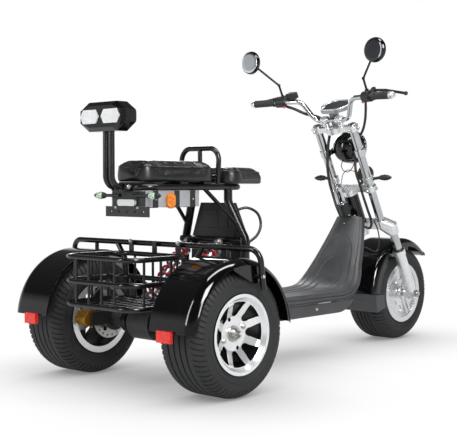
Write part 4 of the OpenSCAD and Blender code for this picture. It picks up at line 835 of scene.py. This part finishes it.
def cable(name, points, diameter_mm, body, material, braid=0.0, bends=None):
    """A cord swept along a smooth line through the points."""
    pts = [Vector(p) for p in points]
    pts = [2 * pts[0] - pts[1]] + pts + [2 * pts[-1] - pts[-2]]
    line, step_m = [], 0.003
    for a, b, c, d in zip(pts, pts[1:], pts[2:], pts[3:]):
        parts = max(4, int((c - b).length / step_m))
        for k in range(parts):
            t = k / parts
            line.append(0.5 * (2 * b + (c - a) * t + (2 * a - 5 * b + 4 * c - d) * t**2
                               + (3 * b - 3 * c + d - a) * t**3))
    line.append(pts[-2])
    verts, sides, radius = [], 16, diameter_mm / 2000  # half the diameter, in metres
    out = (line[1] - line[0]).orthogonal().normalized()
    run = 0.0
    for i, p in enumerate(line):
        ahead = (line[min(i + 1, len(line) - 1)] - line[max(i - 1, 0)]).normalized()
        out = (out - ahead * out.dot(ahead)).normalized()
        up = ahead.cross(out)
        run += (p - line[i - 1]).length * 1000 if i else 0.0
        for k in range(sides):
            a = 2 * math.pi * k / sides
            weave = 1 - braid * (0.5 + 0.5 * math.sin(4 * a + run) * math.sin(4 * a - run))
            verts.append(p + (out * math.cos(a) + up * math.sin(a)) * radius * weave)
    made = piece(name, verts, tube_faces(len(line), sides), None if bends else body, material, "soft_rubber")
    if bends:
        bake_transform(made)
    return made


cable("left_switch_loom", [fork(*p) for p in (
    (-28, 222, 1014), (-30, 180, 1000), (-12, 140, 965), (24, 104, 930), (36, 74, 890), (20, 64, 850),
    (-12, 64, 810), (-36, 74, 750), (-50, 84, 690), (-56, 92, 620), (-68, 84, 565), (-88, 68, 525),
    (-103, 52, 500), (-110, 44, 482))],
    14, "steering", woven_sleeve, 0.12, ("steering", "chassis", fork(-56, 92, 625), fork(-103, 52, 500)))
cable("right_switch_loom", [fork(*p) for p in (
    (-28, -222, 1014), (-8, -192, 960), (18, -152, 900), (22, -119, 850), (14, -73, 800), (-14, -66, 740),
    (-46, -70, 680), (-54, -76, 620), (-60, -80, 560), (-64, -85, 490), (-64, -86, 430), (-72, -72, 398),
    (-86, -48, 415), (-99, -26, 428))],
    12, "steering", woven_sleeve, 0.12, ("steering", "chassis", fork(-64, -85, 480), fork(-96, -30, 426)))
cable("front_brake_cable", [fork(-56, -95, 436), fork(-60, -104, 380), fork(-74, -104, 330),
                            fork(-104, -94, 292), at(1262, -88, 458), at(1204, -80, 440)],
      6, "steering", cable_sheath, 0.0, ("steering", "chassis", fork(-58, -100, 420), at(1215, -82, 445)))
cable("headlamp_wire", [fork(*p) for p in (
    (14, 34, 706), (2, 40, 690), (-8, 30, 668), (-8, 6, 660), (0, -14, 672), (8, -30, 694))],
    4, "steering", cable_sheath)
cable("horn_wire", [fork(*p) for p in (
    (38, -30, 634), (14, -22, 648), (-4, 6, 668), (-14, 34, 650), (-20, 52, 612), (-16, 70, 592))],
    3.5, "steering", cable_sheath)
cable("controller_loop", [at(*p) for p in (
    (398, -72, 640), (436, -104, 652), (474, -126, 630), (484, -136, 586), (458, -140, 544),
    (410, -131, 512))],
    11, "chassis", cable_sheath)
for side, name in ((-1, "right_brake_hose"), (1, "left_brake_hose")):
    cable(name, [at(*p) for p in (
        (-96, side * 226, 288), (-78, side * 216, 330), (-30, side * 200, 372), (30, side * 160, 388),
        (120, side * 128, 352), (200, side * 117, 280), (222, side * 112, 236))],
        7, "chassis", cable_sheath)


# Fasteners: zinc-plated hex bolts on washers where the tubes, plates and skins are joined.
# The lug nuts turn with the rear wheels, and the horn has two brass terminals.
def bolt(spot, ahead, across):
    """Washer and hex head with a chamfered crown, across flats in millimetres."""
    r = across / 2
    ahead = Vector(ahead).normalized()
    washer = turned([(0, r * 1.45), (1.4, r * 1.45), (1.8, r * 1.38), (1.8, 0.2)], spot, ahead, 24)
    head = turned([(1.8, r * 1.12), (r, r * 1.14), (r * 1.25, r * 0.96), (r * 1.3, r * 0.5), (r * 1.3, 0.1)],
                  spot, ahead, 6)
    return joined([washer, head])


bright_bolts = surface("steel_zinc_plated_fasteners", "#b4b6b8", "#c9c5b4", (0.22, 0.36), 0.8, 0.03, 15,
                       sockets={"Metallic": 1.0})
chassis_bolts = []
for s in (-1, 1):
    out = (0, s, 0)
    chassis_bolts += [bolt(at(x, s * 150, 214), out, 10) for x in (450, 640, 830)]
    chassis_bolts += [bolt(at(275, s * 136.4, 214), out, 19), bolt(at(292, s * 90.6, 520), out, 17),
                      bolt(at(52, s * 99.2, 276), out, 17), bolt(at(62, s * 511.4, 425), out, 13)]
    chassis_bolts += [bolt(at(26, s * 130, 528), back, 12), bolt(at(-134, s * 36, 735), out, 13)]
    chassis_bolts += [bolt(at(361.3, s * 88, 515), back, 13), bolt(at(361.3, s * 40, 515), back, 8)]
    chassis_bolts += [bolt(at(x, s * 106.8, 690), out, 6) for x in (-64, 128)]
    chassis_bolts += [bolt(at(-110.2, s * 60, 660), back, 8)]
chassis_bolts += [bolt(at(1229, 0, 566), (-0.875, 0, 0.484), 6)]
piece("chassis_bolts", *joined(chassis_bolts), "chassis", bright_bolts, "bright_steel", sharp=25)

nut_circle, nut_y = 55, 430.3
for s, name, body in ((-1, "right_lug_nuts", "rear_right_wheel"), (1, "left_lug_nuts", "rear_left_wheel")):
    nuts = [bolt(at(nut_circle * math.cos(a), s * nut_y, axle_height + nut_circle * math.sin(a)), (0, s, 0), 14)
            for a in (math.radians(22.5), math.radians(202.5))]
    piece(name, *joined(nuts), body, bright_bolts, "bright_steel", sharp=25)

rear = fork_way(-1, 0, 0)
steering_bolts = []
for s in (-1, 1):
    out = (0, s, 0)
    steering_bolts += [bolt(fork(-12, s * 126.2, w), out, 12) for w in (883, 576)]
    steering_bolts += [bolt(fork(-40.2, s * 98, w), rear, 10) for w in (883, 576)]
    steering_bolts += [bolt(fork(-32.2, s * y, 928), rear, 8) for y in (32, 48)]
    steering_bolts += [bolt(fork(40, s * 76, 761), out, 10)]
piece("steering_bolts", *joined(steering_bolts), "steering", bright_bolts, "bright_steel", sharp=25)

brass = surface("brass_stamped", "#c39a45", "#d3ad5a", (0.25, 0.4), 0.6, 0.02, 12,
                sockets={"Metallic": 1.0})
terminal = [(0, 5), (6, 5), (6, 3), (13, 3), (13, 0.1)]
terminals = [turned(terminal, fork(36, y, 640), rear, 20) for y in (-46, -22)]
piece("horn_terminals", *joined(terminals), "steering", brass, "gold")

# Size: the box of the finished model.
low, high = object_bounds()
